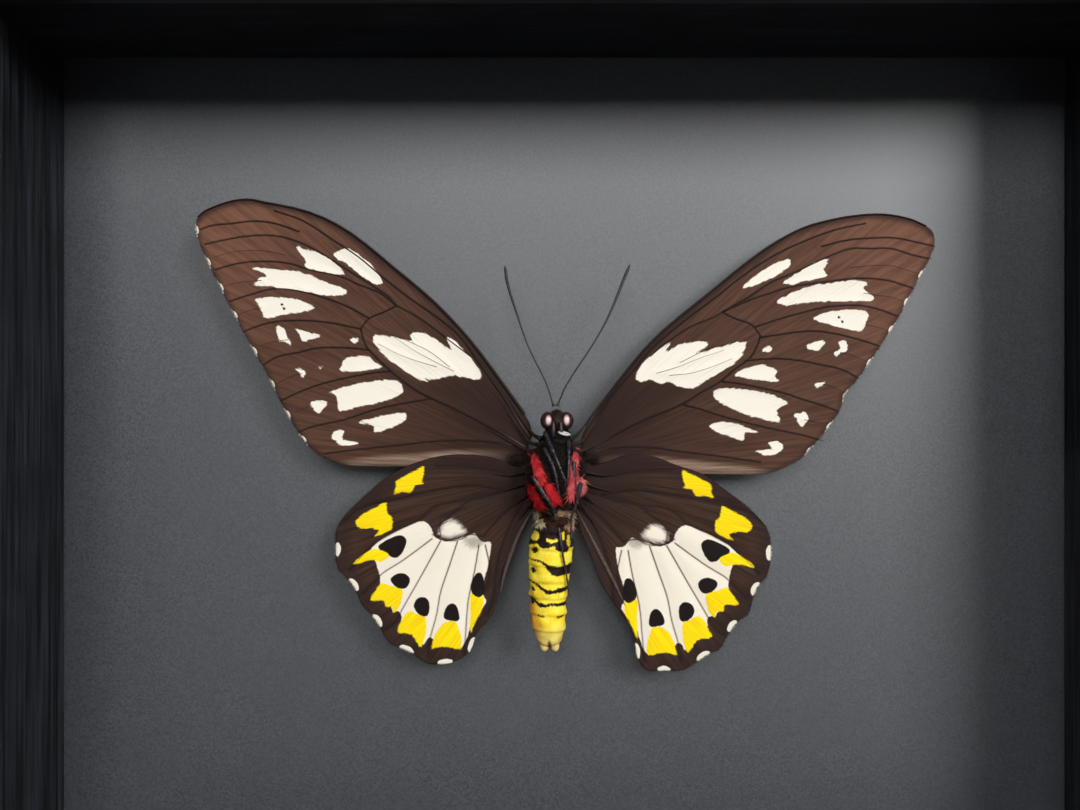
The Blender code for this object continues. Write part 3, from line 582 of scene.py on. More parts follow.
@dataclass
class Tuft:
    """A growth of tapered hairs or narrow scales, laid down together as one mesh.

    Attributes:
        roots: Where each hair starts, in metres.
        tips: Where each hair would end if it were straight.
        widths: Radius of each hair at its root.
        bend: How far the middle of each hair is pushed aside, as a vector for each.
        shades: A value from 0 to 1 for each hair that picks its colour.
    """

    roots: np.ndarray
    tips: np.ndarray
    widths: np.ndarray
    bend: np.ndarray
    shades: np.ndarray

    SIDES = 3
    CUTS = (0.35, 0.7)

    def single_hair(self) -> tuple[np.ndarray, list[list[int]]]:
        """Model one straight hair of unit length and radius.

        Returns:
            Its vertices and, for each face, the numbers of its corners.
        """
        bm = bmesh.new()
        bmesh.ops.create_cone(bm, cap_ends=True, segments=self.SIDES, radius1=1.0, radius2=0.0, depth=1.0)
        bmesh.ops.remove_doubles(bm, verts=bm.verts, dist=1e-6)
        bmesh.ops.translate(bm, vec=(0.0, 0.0, 0.5), verts=bm.verts)
        for height in self.CUTS:
            bmesh.ops.bisect_plane(bm, geom=bm.verts[:] + bm.edges[:] + bm.faces[:],
                                   plane_co=(0.0, 0.0, height), plane_no=(0.0, 0.0, 1.0))
        bmesh.ops.recalc_face_normals(bm, faces=bm.faces)
        bm.verts.index_update()
        corners = corners_of(bm)
        faces = [[vert.index for vert in face.verts] for face in bm.faces]
        bm.free()
        return corners, faces

    def mesh(self, name: str) -> bpy.types.Mesh:
        """Lay every hair down.

        Args:
            name: Name of the mesh.

        Returns:
            The mesh, with fields shade and along.
        """
        corners, faces = self.single_hair()
        count, size = len(self.roots), len(corners)
        run = self.tips - self.roots
        heading = run / np.maximum(np.linalg.norm(run, axis=1, keepdims=True), 1e-9)
        helper = np.where(np.abs(heading[:, 1:2]) > 0.9, [[1.0, 0.0, 0.0]], [[0.0, 1.0, 0.0]])
        across = unit(np.cross(helper, heading))
        over = np.cross(heading, across)
        along = corners[:, 2]
        hump = (4.0 * along * (1.0 - along))[None, :, None]
        width = self.widths[:, None, None]
        points = (self.roots[:, None, :] + run[:, None, :] * along[None, :, None] + across[:, None, :]
                  * corners[None, :, 0:1] * width + over[:, None, :] * corners[None, :, 1:2] * width
                  + self.bend[:, None, :] * hump)
        mesh = bpy.data.meshes.new(name)
        mesh.vertices.add(count * size)
        mesh.vertices.foreach_set("co", points.reshape(-1))
        lengths = np.array([len(face) for face in faces])
        order = np.concatenate([np.array(face) for face in faces])
        loops = (np.arange(count)[:, None] * size + order[None, :]).reshape(-1)
        starts = np.concatenate([[0], np.cumsum(np.tile(lengths, count))[:-1]])
        mesh.loops.add(len(loops))
        mesh.loops.foreach_set("vertex_index", loops)
        mesh.polygons.add(len(starts))
        mesh.polygons.foreach_set("loop_start", starts)
        mesh.update(calc_edges=True)
        mesh.shade_smooth()
        write_field(mesh, "shade", np.repeat(self.shades, size))
        write_field(mesh, "along", np.tile(along, count))
        return mesh


def grow(name: str, tuft: Tuft, hairs: HairColours) -> None:
    """Put a growth of hairs in the scene as a piece with its own finish."""
    placed(name, tuft.mesh(name), [hairs.material()])


# Finishes -----------------------------------------------------------------------------------

class Graph:
    """The nodes of one material, built by short calls that return sockets."""

    def __init__(self, name: str, roughness: float, **constants: float) -> None:
        """Start a material.

        Args:
            name: Name of the material.
            roughness: Roughness of the surface.
            constants: Other values of the shader, with _ for a space in their names.
        """
        self.material = bpy.data.materials.new(name)
        self.material.use_nodes = True
        self.tree = self.material.node_tree
        self.shader = self.tree.nodes["Principled BSDF"]
        self.shader.inputs["Roughness"].default_value = roughness
        for key, value in constants.items():
            self.shader.inputs[key.replace("_", " ")].default_value = value

    def feed(self, socket: Socket, value: object) -> None:
        """Link a socket to another one, or set its value.

        Args:
            socket: The input.
            value: A socket to link to it, or a plain value.
        """
        if isinstance(value, Socket):
            self.tree.links.new(value, socket)
        else:
            socket.default_value = value

    def node(self, kind: str, inputs: dict, **settings: object) -> bpy.types.Node:
        """Add a node.

        Args:
            kind: Type of the node.
            inputs: Values or sockets for its inputs, by name or number.
            settings: Properties of the node.

        Returns:
            The node.
        """
        made = self.tree.nodes.new(kind)
        for key, value in settings.items():
            setattr(made, key, value)
        for key, value in inputs.items():
            self.feed(made.inputs[key], value)
        return made

    def place(self, stretch: tuple[float, float, float] = (1.0, 1.0, 1.0),
              turn: tuple[float, float, float] = (0.0, 0.0, 0.0)) -> Socket:
        """Read the piece's own coordinates, stretched and turned.

        Args:
            stretch: Factor along each axis.
            turn: Turn about each axis.

        Returns:
            The coordinates.
        """
        source = self.node("ShaderNodeTexCoord", {}).outputs["Object"]
        mapping = self.node("ShaderNodeMapping", {"Vector": source, "Scale": stretch, "Rotation": turn})
        return mapping.outputs["Vector"]

    def field(self, name: str) -> Socket:
        """Read a number stored on the mesh."""
        return self.node("ShaderNodeAttribute", {}, attribute_name=name).outputs["Fac"]

    def fan(self, spread: float, length: float) -> Socket:
        """Read the place on a wing as (angle round the root, distance from it)."""
        return self.node("ShaderNodeCombineXYZ", {
            "X": self.maths("MULTIPLY", self.field("around"), spread),
            "Y": self.maths("MULTIPLY", self.field("outward"), length),
        }).outputs["Vector"]

    def noise(self, vector: Socket, scale: float, detail: float = 2.0, rough: float = 0.5) -> Socket:
        """Cloudy values from 0 to 1."""
        return self.node("ShaderNodeTexNoise", {"Vector": vector, "Scale": scale,
                                                "Detail": detail, "Roughness": rough}).outputs[0]

    def cells(self, vector: Socket, scale: float) -> Socket:
        """Distance to the nearest of many scattered points."""
        return self.node("ShaderNodeTexVoronoi", {"Vector": vector, "Scale": scale}).outputs["Distance"]

    def maths(self, operation: str, first: object, second: object = 0.0) -> Socket:
        """Work out one number from two."""
        return self.node("ShaderNodeMath", {0: first, 1: second}, operation=operation).outputs[0]

    def ramp(self, value: object, low: float, high: float, start: float = 0.0,
             end: float = 1.0) -> Socket:
        """Ease from start to end while value goes from low to high."""
        return self.node("ShaderNodeMapRange", {
            "Value": value, "From Min": low, "From Max": high, "To Min": start, "To Max": end,
        }, interpolation_type="SMOOTHSTEP").outputs["Result"]

    def mix(self, share: object, under: object, over: object, blend: str = "MIX") -> Socket:
        """Lay one colour over another."""
        return self.node("ShaderNodeMix", {0: share, 6: under, 7: over}, data_type="RGBA",
                         blend_type=blend).outputs[2]

    def between(self, value: object, low: float, high: float, first: object, second: object) -> Socket:
        """Go from the first colour to the second while value goes from low to high."""
        return self.mix(self.ramp(value, low, high), first, second)

    def stain(self, under: object, value: object, low: float, high: float, share: float,
              colour: Colour) -> Socket:
        """Lay up to a share of a colour over another while value goes from low to high."""
        return self.mix(self.ramp(value, low, high, 0.0, share), under, colour)

    def finish(self, colour: object, height: object = None, depth: float = 0.0,
               strength: float = 1.0, roughness: object = None) -> Material:
        """Join the colour, relief and roughness to the shader.

        Args:
            colour: Colour of the surface.
            height: Relief from 0 to 1, if there is one.
            depth: Depth of the relief in metres.
            strength: Share of the relief that shows.
            roughness: Varying roughness, if there is one.

        Returns:
            The material.
        """
        self.feed(self.shader.inputs["Base Color"], colour)
        if height is not None:
            relief = self.node("ShaderNodeBump",
                               {"Height": height, "Distance": depth, "Strength": strength})
            self.feed(self.shader.inputs["Normal"], relief.outputs["Normal"])
        if roughness is not None:
            self.feed(self.shader.inputs["Roughness"], roughness)
        return self.material


class Grain(Enum):
    """The way that the grain of a strip of wood runs."""

    ALONG_X = (20.0, 900.0, 900.0)
    ALONG_Z = (900.0, 900.0, 20.0)


@dataclass(frozen=True)
class PaintedWood:
    """Black paint or stain that lets the grain show through."""

    name: str
    grain: Grain
    dark: Colour = tone(14, 15, 17)
    light: Colour = tone(44, 47, 54)
    roughness: float = 0.42
    relief: float = 0.12 * MM
    gloss: float = 0.5

    def material(self) -> Material:
        """Build the material.

        Returns:
            The material.
        """
        graph = Graph(self.name, self.roughness, Specular_IOR_Level=self.gloss)
        strip = graph.place(self.grain.value)
        lines = graph.noise(strip, 1.0, 4.0, 0.65)
        pores = graph.ramp(graph.noise(strip, 2.6, 2.0), 0.52, 0.7)
        cloud = graph.noise(graph.place(), 60.0)
        base = graph.between(lines, 0.35, 0.75, self.dark, self.light)
        worn = graph.stain(base, cloud, 0.3, 0.8, 0.5, self.dark)
        height = graph.maths("SUBTRACT", lines, graph.maths("MULTIPLY", pores, 0.5))
        sheen = graph.ramp(lines, 0.3, 0.8, self.roughness - 0.08, self.roughness + 0.15)
        return graph.finish(worn, height, self.relief, 0.6, sheen)


@dataclass(frozen=True)
class MountCard:
    """Charcoal card with a fine tooth, a soft shine and a few pale fibres."""

    name: str = "toothed_card"
    dark: Colour = tone(41, 43, 47)
    light: Colour = tone(69, 72, 78)
    base: Colour = tone(54, 57, 62)
    fleck: Colour = tone(120, 124, 130)
    roughness: float = 0.44

    def material(self) -> Material:
        """Build the material.

        Returns:
            The material.
        """
        graph = Graph(self.name, self.roughness, Specular_IOR_Level=1.0)
        flat = graph.place()
        tooth = graph.noise(flat, 2100.0, 4.0, 0.65)
        cloud = graph.noise(flat, 140.0, 3.0)
        dust = graph.ramp(graph.cells(flat, 300.0), 0.034, 0.02)
        shade = graph.between(tooth, 0.32, 0.68, self.dark, self.light)
        body = graph.stain(shade, cloud, 0.3, 0.7, 0.35, self.base)
        speckled = graph.mix(graph.maths("MULTIPLY", dust, graph.ramp(cloud, 0.4, 0.7)), body, self.fleck)
        shine = graph.ramp(tooth, 0.25, 0.75, self.roughness - 0.04, self.roughness + 0.06)
        return graph.finish(speckled, tooth, 0.04 * MM, 0.5, shine)


@dataclass(frozen=True)
class ClearGlass:
    """Thin picture glass."""

    name: str = "picture_glass"

    def material(self) -> Material:
        """Build the material.

        Returns:
            The material.
        """
        graph = Graph(self.name, 0.0, Transmission_Weight=1.0, IOR=1.45)
        graph.shader.inputs["Specular Tint"].default_value = (0.0, 0.0, 0.0, 1.0)
        return graph.finish((1.0, 1.0, 1.0, 1.0))


@dataclass(frozen=True)
class Hardboard:
    """Pressed brown fibre board with a sparse mottle."""

    name: str = "pressed_board"

    def material(self) -> Material:
        """Build the material.

        Returns:
            The material.
        """
        graph = Graph(self.name, 0.72)
        flat = graph.place()
        fibres = graph.noise(flat, 900.0, 5.0, 0.7)
        cloud = graph.noise(flat, 45.0, 3.0)
        board = graph.between(fibres, 0.3, 0.72, tone(84, 58, 38), tone(146, 108, 74))
        stained = graph.stain(board, cloud, 0.35, 0.75, 0.5, tone(104, 74, 50))
        return graph.finish(stained, fibres, 0.05 * MM, 0.5)


@dataclass(frozen=True)
class PlatedSteel:
    """Thin plated steel with a drawn finish and slight tarnish."""

    name: str
    bright: Colour
    dull: Colour
    roughness: float = 0.32

    def material(self) -> Material:
        """Build the material.

        Returns:
            The material.
        """
        graph = Graph(self.name, self.roughness, Metallic=1.0)
        drawn = graph.noise(graph.place((300.0, 300.0, 6000.0)), 1.0, 3.0)
        tarnish = graph.noise(graph.place(), 700.0, 3.0)
        colour = graph.between(tarnish, 0.35, 0.75, self.bright, self.dull)
        shine = graph.ramp(drawn, 0.3, 0.7, self.roughness - 0.08, self.roughness + 0.12)
        return graph.finish(colour, drawn, 0.01 * MM, 0.4, shine)


@dataclass(frozen=True)
class PlainStuff:
    """Rubber, foam or another stuff with one colour and a fine surface."""

    name: str
    dark: Colour
    light: Colour
    roughness: float
    scale: float
    relief: float

    def material(self) -> Material:
        """Build the material.

        Returns:
            The material.
        """
        graph = Graph(self.name, self.roughness)
        skin = graph.noise(graph.place(), self.scale, 4.0, 0.6)
        colour = graph.between(skin, 0.3, 0.7, self.dark, self.light)
        return graph.finish(colour, skin, self.relief, 0.6)


@dataclass(frozen=True)
class WingScales:
    """Colours that both pairs of wings share, and the way their scales lie."""

    name: str
    roughness: float = 0.72
    gloss: float = 0.16

    def scale_rows(self, graph: Graph) -> Socket:
        """Return the relief of the scales, which lie in rows round the wing's root."""
        return graph.noise(graph.fan(340.0, 5200.0), 1.0, 2.0, 0.6)

    def jitter(self, graph: Graph, reach: float) -> Socket:
        """Return an uneven offset in mm that frays the edge of a mark."""
        frayed = graph.noise(graph.fan(95.0, 420.0), 1.0, 4.0, 0.75)
        return graph.maths("MULTIPLY", graph.maths("SUBTRACT", frayed, 0.5), reach)

    def inside(self, graph: Graph, mark: object, fray: float = 1.5, soft: float = 0.12) -> Socket:
        """Return 1 inside a mark and 0 outside it, with a frayed edge."""
        offset = graph.maths("ADD", mark, self.jitter(graph, fray))
        return graph.ramp(offset, soft, -soft)

    def margin_marks(self, graph: Graph, half_length: float, depth: float) -> Socket:
        """Find the small crescents on the margin.

        Args:
            graph: The material being built.
            half_length: Half of a crescent's length, in mm.
            depth: How far it reaches inwards, in mm.

        Returns:
            1 inside the crescents and 0 elsewhere.
        """
        along = graph.maths("DIVIDE", graph.field("lunule"), half_length)
        inward = graph.maths("DIVIDE", graph.field("edge"), depth)
        reach = graph.maths("ADD", graph.maths("MULTIPLY", along, along),
                            graph.maths("MULTIPLY", inward, inward))
        uneven = graph.maths("ADD", reach, self.jitter(graph, 0.9))
        return graph.ramp(uneven, 1.1, 0.8)


@dataclass(frozen=True)
class ForewingScales(WingScales):
    """Umber ground with cream white marks and painted shade over the lower part of the cell."""

    def material(self) -> Material:
        """Build the material.

        Returns:
            The material.
        """
        graph = Graph(self.name, self.roughness, Specular_IOR_Level=self.gloss)
        streaks = graph.noise(graph.fan(75.0, 60.0), 1.0, 4.0, 0.6)
        rows = self.scale_rows(graph)
        outward = graph.field("outward")
        near = graph.between(streaks, 0.3, 0.7, tone(34, 21, 16), tone(54, 35, 28))
        far = graph.between(streaks, 0.3, 0.7, tone(76, 50, 39), tone(100, 68, 52))
        ground = graph.between(outward, 0.008, 0.06, near, far)
        tip = graph.between(streaks, 0.3, 0.7, tone(104, 69, 53), tone(130, 89, 70))
        ground = graph.between(outward, 0.062, 0.095, ground, tip)
        band = graph.between(streaks, 0.3, 0.7, tone(108, 82, 66), tone(172, 144, 124))
        far_band = graph.maths("MULTIPLY", graph.ramp(graph.field("band"), 0.6, -1.2),
                               graph.ramp(outward, 0.008, 0.028))
        ground = graph.mix(far_band, ground, band)
        ground = graph.stain(ground, graph.field("vein"), 0.42, 0.12, 0.75, tone(30, 17, 13))
        ground = graph.stain(ground, graph.field("lead"), 2.2, 0.2, 0.7, tone(36, 22, 17))
        # Painted shade: darker over the hollow along the floor of the cell.
        painted_cell_shade = graph.ramp(graph.field("cellward"), 3.0, -3.0, 0.0, 0.5)
        ground = graph.mix(painted_cell_shade, ground, tone(40, 25, 19))
        ground = graph.stain(ground, graph.field("edge"), 1.5, 0.2, 0.5, tone(46, 30, 26))
        ground = graph.stain(ground, rows, 0.35, 0.7, 0.35, tone(30, 18, 15))
        cream = graph.between(rows, 0.3, 0.75, tone(254, 248, 234), tone(230, 220, 202))
        lines = graph.ramp(graph.noise(graph.fan(150.0, 40.0), 1.0, 3.0, 0.6), 0.56, 0.72, 0.0, 0.4)
        cream = graph.mix(lines, cream, tone(184, 172, 152))
        marked = graph.mix(self.inside(graph, graph.field("white")), ground, cream)
        marked = graph.between(graph.field("dot"), 0.45, 0.28, marked, tone(36, 24, 20))
        marked = graph.mix(self.margin_marks(graph, 1.0, 0.52), marked, tone(232, 224, 206))
        return graph.finish(marked, rows, 0.035 * MM, 0.55)


@dataclass(frozen=True)
class HindwingScales(WingScales):
    """Dark ground with a cream fan, yellow marks and black spots."""

    def material(self) -> Material:
        """Build the material.

        Returns:
            The material.
        """
        graph = Graph(self.name, self.roughness, Specular_IOR_Level=self.gloss)
        streaks = graph.noise(graph.fan(65.0, 60.0), 1.0, 4.0, 0.6)
        fine = graph.noise(graph.fan(170.0, 90.0), 1.0, 3.0, 0.6)
        rows = self.scale_rows(graph)
        ground = graph.between(streaks, 0.3, 0.7, tone(44, 28, 21), tone(76, 51, 39))
        ground = graph.stain(ground, graph.field("outward"), 0.032, 0.01, 0.7, tone(24, 13, 9))
        ground = graph.stain(ground, graph.field("edge"), 5.0, 1.0, 0.6, tone(42, 28, 27))
        ground = graph.stain(ground, graph.field("vein"), 0.8, 0.1, 0.5, tone(26, 16, 14))
        ground = graph.stain(ground, rows, 0.35, 0.7, 0.35, tone(24, 15, 13))
        cream = graph.between(rows, 0.3, 0.75, tone(252, 244, 228), tone(226, 214, 192))
        cream = graph.stain(cream, fine, 0.55, 0.8, 0.35, tone(186, 172, 154))
        cream = graph.stain(cream, graph.field("vein"), 0.4, 0.15, 0.5, tone(120, 104, 92))
        drawn_in = graph.ramp(graph.field("edge"), 11.0, 7.0, 0.0, 0.75)
        fan = graph.maths("ADD", graph.field("cream"), drawn_in)
        marked = graph.mix(self.inside(graph, fan, 0.9), ground, cream)
        dusted = graph.ramp(graph.maths("ADD", graph.field("dusted"), self.jitter(graph, 3.0)), 0.9, -0.7)
        marked = graph.mix(dusted, marked, cream)
        marked = graph.mix(graph.ramp(graph.maths("ADD", graph.field("smudge"), self.jitter(
            graph, 4.0)), 0.8, -1.4, 0.0, 0.55), marked, tone(60, 46, 42))
        yellow = graph.between(fine, 0.35, 0.7, tone(255, 236, 4), tone(250, 204, 2))
        yellow = graph.stain(yellow, rows, 0.4, 0.8, 0.4, tone(214, 160, 0))
        marked = graph.mix(self.inside(graph, graph.field("yellow"), 1.3, 0.2), marked, yellow)
        spot = graph.maths("SUBTRACT", graph.field("spot"), 0.3)
        marked = graph.mix(self.inside(graph, spot, 0.5), marked, tone(22, 14, 12))
        marked = graph.mix(self.margin_marks(graph, 1.9, 1.15), marked, tone(236, 228, 210))
        return graph.finish(marked, rows, 0.035 * MM, 0.55)


@dataclass(frozen=True)
class VeinCuticle:
    """Dark veins that pale to a dull tan at the wing's root, partly their own tan and partly painted
    highlight on the stout stems.
    """

    name: str
    # Colour at the root: the veins' own tan with painted highlight in it.
    root: Colour = tone(112, 95, 80)
    far: Colour = tone(30, 19, 15)

    def material(self) -> Material:
        """Build the material.

        Returns:
            The material.
        """
        graph = Graph(self.name, 0.5, Specular_IOR_Level=0.15)
        skin = graph.noise(graph.place(), 3500.0, 3.0)
        # Paler towards the root: partly the veins' own tan, partly painted highlight.
        tan_and_painted_highlight = graph.between(graph.field("outward"), 0.004, 0.014, self.root, self.far)
        colour = graph.stain(tan_and_painted_highlight, skin, 0.35, 0.75, 0.35, tone(60, 42, 36))
        return graph.finish(colour, skin, 0.02 * MM, 0.5)


@dataclass(frozen=True)
class HairColours:
    """Hairs whose colour goes from one shade to another, darker at their roots."""

    name: str
    low: Colour
    high: Colour
    root_share: float = 0.35
    roughness: float = 0.5

    def material(self) -> Material:
        """Build the material.

        Returns:
            The material.
        """
        graph = Graph(self.name, self.roughness, Specular_IOR_Level=0.2)
        picked = graph.mix(graph.field("shade"), self.low, self.high)
        lift = graph.ramp(graph.field("along"), 0.0, 0.6, self.root_share, 1.0)
        grey = graph.node("ShaderNodeCombineColor", {0: lift, 1: lift, 2: lift}).outputs[0]
        return graph.finish(graph.mix(1.0, picked, grey, "MULTIPLY"))


@dataclass(frozen=True)
class AbdomenScales:
    """Yellow scales with black bands, spiracles and a pale, cleft tip."""

    name: str = "banded_scales"

    def material(self) -> Material:
        """Build the material.

        Returns:
            The material.
        """
        graph = Graph(self.name, 0.6, Specular_IOR_Level=0.14)
        skin = graph.place()
        rows = graph.noise(graph.place((1.0, 1.0, 0.45)), 3800.0, 3.0, 0.6)
        cloud = graph.noise(skin, 420.0, 3.0)
        yellow = graph.between(cloud, 0.35, 0.7, tone(255, 238, 78), tone(252, 214, 34))
        yellow = graph.mix(graph.field("orange"), yellow, tone(232, 132, 34))
        yellow = graph.stain(yellow, rows, 0.4, 0.75, 0.3, tone(190, 134, 20))
        pale = graph.between(cloud, 0.3, 0.7, tone(240, 226, 150), tone(226, 190, 110))
        body = graph.mix(graph.field("tip"), yellow, pale)
        frayed = graph.maths("ADD", graph.field("black"), graph.maths(
            "MULTIPLY", graph.maths("SUBTRACT", graph.noise(skin, 2600.0, 2.0), 0.5), 0.9))
        black = graph.ramp(frayed, 0.16, -0.16)
        band = graph.between(rows, 0.4, 0.75, tone(16, 10, 9), tone(52, 33, 24))
        marked = graph.mix(black, body, band)
        marked = graph.between(graph.field("cleft"), 0.9, 0.25, marked, tone(126, 50, 30))
        return graph.finish(marked, rows, 0.05 * MM, 0.6)


@dataclass(frozen=True)
class Cuticle:
    """Hard black shell with a cold shine."""

    name: str
    dark: Colour = tone(20, 17, 20)
    light: Colour = tone(52, 46, 54)
    roughness: float = 0.3
    gloss: float = 0.5

    def material(self) -> Material:
        """Build the material.

        Returns:
            The material.
        """
        graph = Graph(self.name, self.roughness, Specular_IOR_Level=self.gloss)
        skin = graph.noise(graph.place(), 3000.0, 4.0, 0.6)
        colour = graph.between(skin, 0.35, 0.75, self.dark, self.light)
        shine = graph.ramp(skin, 0.3, 0.8, self.roughness - 0.06, self.roughness + 0.18)
        return graph.finish(colour, skin, 0.03 * MM, 0.5, shine)


@dataclass(frozen=True)
class EyeShell:
    """A many-faceted eye with a painted highlight: a pale pink patch that stands in for the lamps'
    reflection.
    """

    name: str = "faceted_eye"

    def material(self) -> Material:
        """Build the material.

        Returns:
            The material.
        """
        graph = Graph(self.name, 0.25, Coat_Weight=0.6, Coat_Roughness=0.12)
        skin = graph.place()
        facets = graph.cells(skin, 9000.0)
        brown = graph.between(facets, 0.2, 0.6, tone(74, 38, 38), tone(34, 18, 18))
        # Painted highlight: a pale pink patch where the lamps' reflection falls on the eye.
        painted_highlight = graph.ramp(graph.field("painted_highlight"), 1.0, 0.3)
        colour = graph.mix(painted_highlight, brown, tone(238, 196, 196))
        return graph.finish(colour, facets, 0.01 * MM, 0.5)


@dataclass(frozen=True)
class StudioFloor:
    """Plain pale paper."""

    name: str = "studio_floor"

    def material(self) -> Material:
        """Build the material.

        Returns:
            The material.
        """
        graph = Graph(self.name, 0.8)
        cloud = graph.noise(graph.place(), 3.0, 2.0)
        return graph.finish(graph.mix(cloud, tone(206, 206, 204), tone(212, 212, 210)))


# The shadow box -----------------------------------------------------------------------------

@dataclass
class ShadowBox:
    """The made parts of the frame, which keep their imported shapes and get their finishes."""

    rail_shine: float = 0.36
    spacer_shine: float = 0.6
    tab_count: int = 8

    def dress(self, node: str, material: Material) -> bpy.types.Object:
        """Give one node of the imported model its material.

        Args:
            node: Name of the node.
            material: Its finish.

        Returns:
            The node's object.
        """
        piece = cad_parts[node]
        piece.data.materials.clear()
        piece.data.materials.append(material)
        LOG.info("%s: %s", node, material.name)
        return piece

    def dress_wood(self) -> None:
        """Finish the rails and the spacers, with the grain along each strip."""
        for grain, ends in ((Grain.ALONG_X, ("top", "bottom")), (Grain.ALONG_Z, ("left", "right"))):
            suffix = grain.name.lower()
            rail = PaintedWood(f"rail_paint_{suffix}", grain, roughness=self.rail_shine)
            stain = PaintedWood(f"spacer_stain_{suffix}", grain, tone(9, 10, 12),
                                tone(60, 64, 73), self.spacer_shine, 0.2 * MM, 0.2)
            rail_material = rail.material()
            stain_material = stain.material()
            for end in ends:
                self.dress(f"rail_{end}", rail_material)
                self.dress(f"spacer_{end}", stain_material)

    def dress_sheets(self) -> None:
        """Finish the glass, the card and the back panel."""
        glass = self.dress("glass", ClearGlass().material())
        glass.visible_shadow = False
        glass.visible_diffuse = False
        self.dress("mount_card", MountCard().material())
        self.dress("back_panel", Hardboard().material())

    def dress_hardware(self) -> None:
        """Finish the tabs, the hanger, its nails and the bumpers."""
        tab = PlatedSteel("tab_plating", tone(186, 186, 188), tone(150, 150, 152)).material()
        for number in range(1, self.tab_count + 1):
            self.dress(f"retaining_tab_{number}", tab)
        zinc = PlatedSteel("zinc_plating", tone(196, 190, 176), tone(150, 142, 128), 0.38).material()
        rubber = PlainStuff("grey_rubber", tone(132, 132, 134), tone(160, 160, 162), 0.55,
                            1500.0, 0.02 * MM).material()
        self.dress("sawtooth_hanger", zinc)
        for end in ("left", "right"):
            self.dress(f"hanger_nail_{end}", zinc)
            self.dress(f"bumper_{end}", rubber)
        foam = PlainStuff("black_foam", tone(24, 24, 26), tone(58, 58, 62), 0.9, 2200.0,
                          0.15 * MM).material()
        self.dress("support_block", foam)

    def build(self) -> None:
        """Finish every part of the box."""
        self.dress_wood()
        self.dress_sheets()
        self.dress_hardware()


# Wings --------------------------------------------------------------------------------------

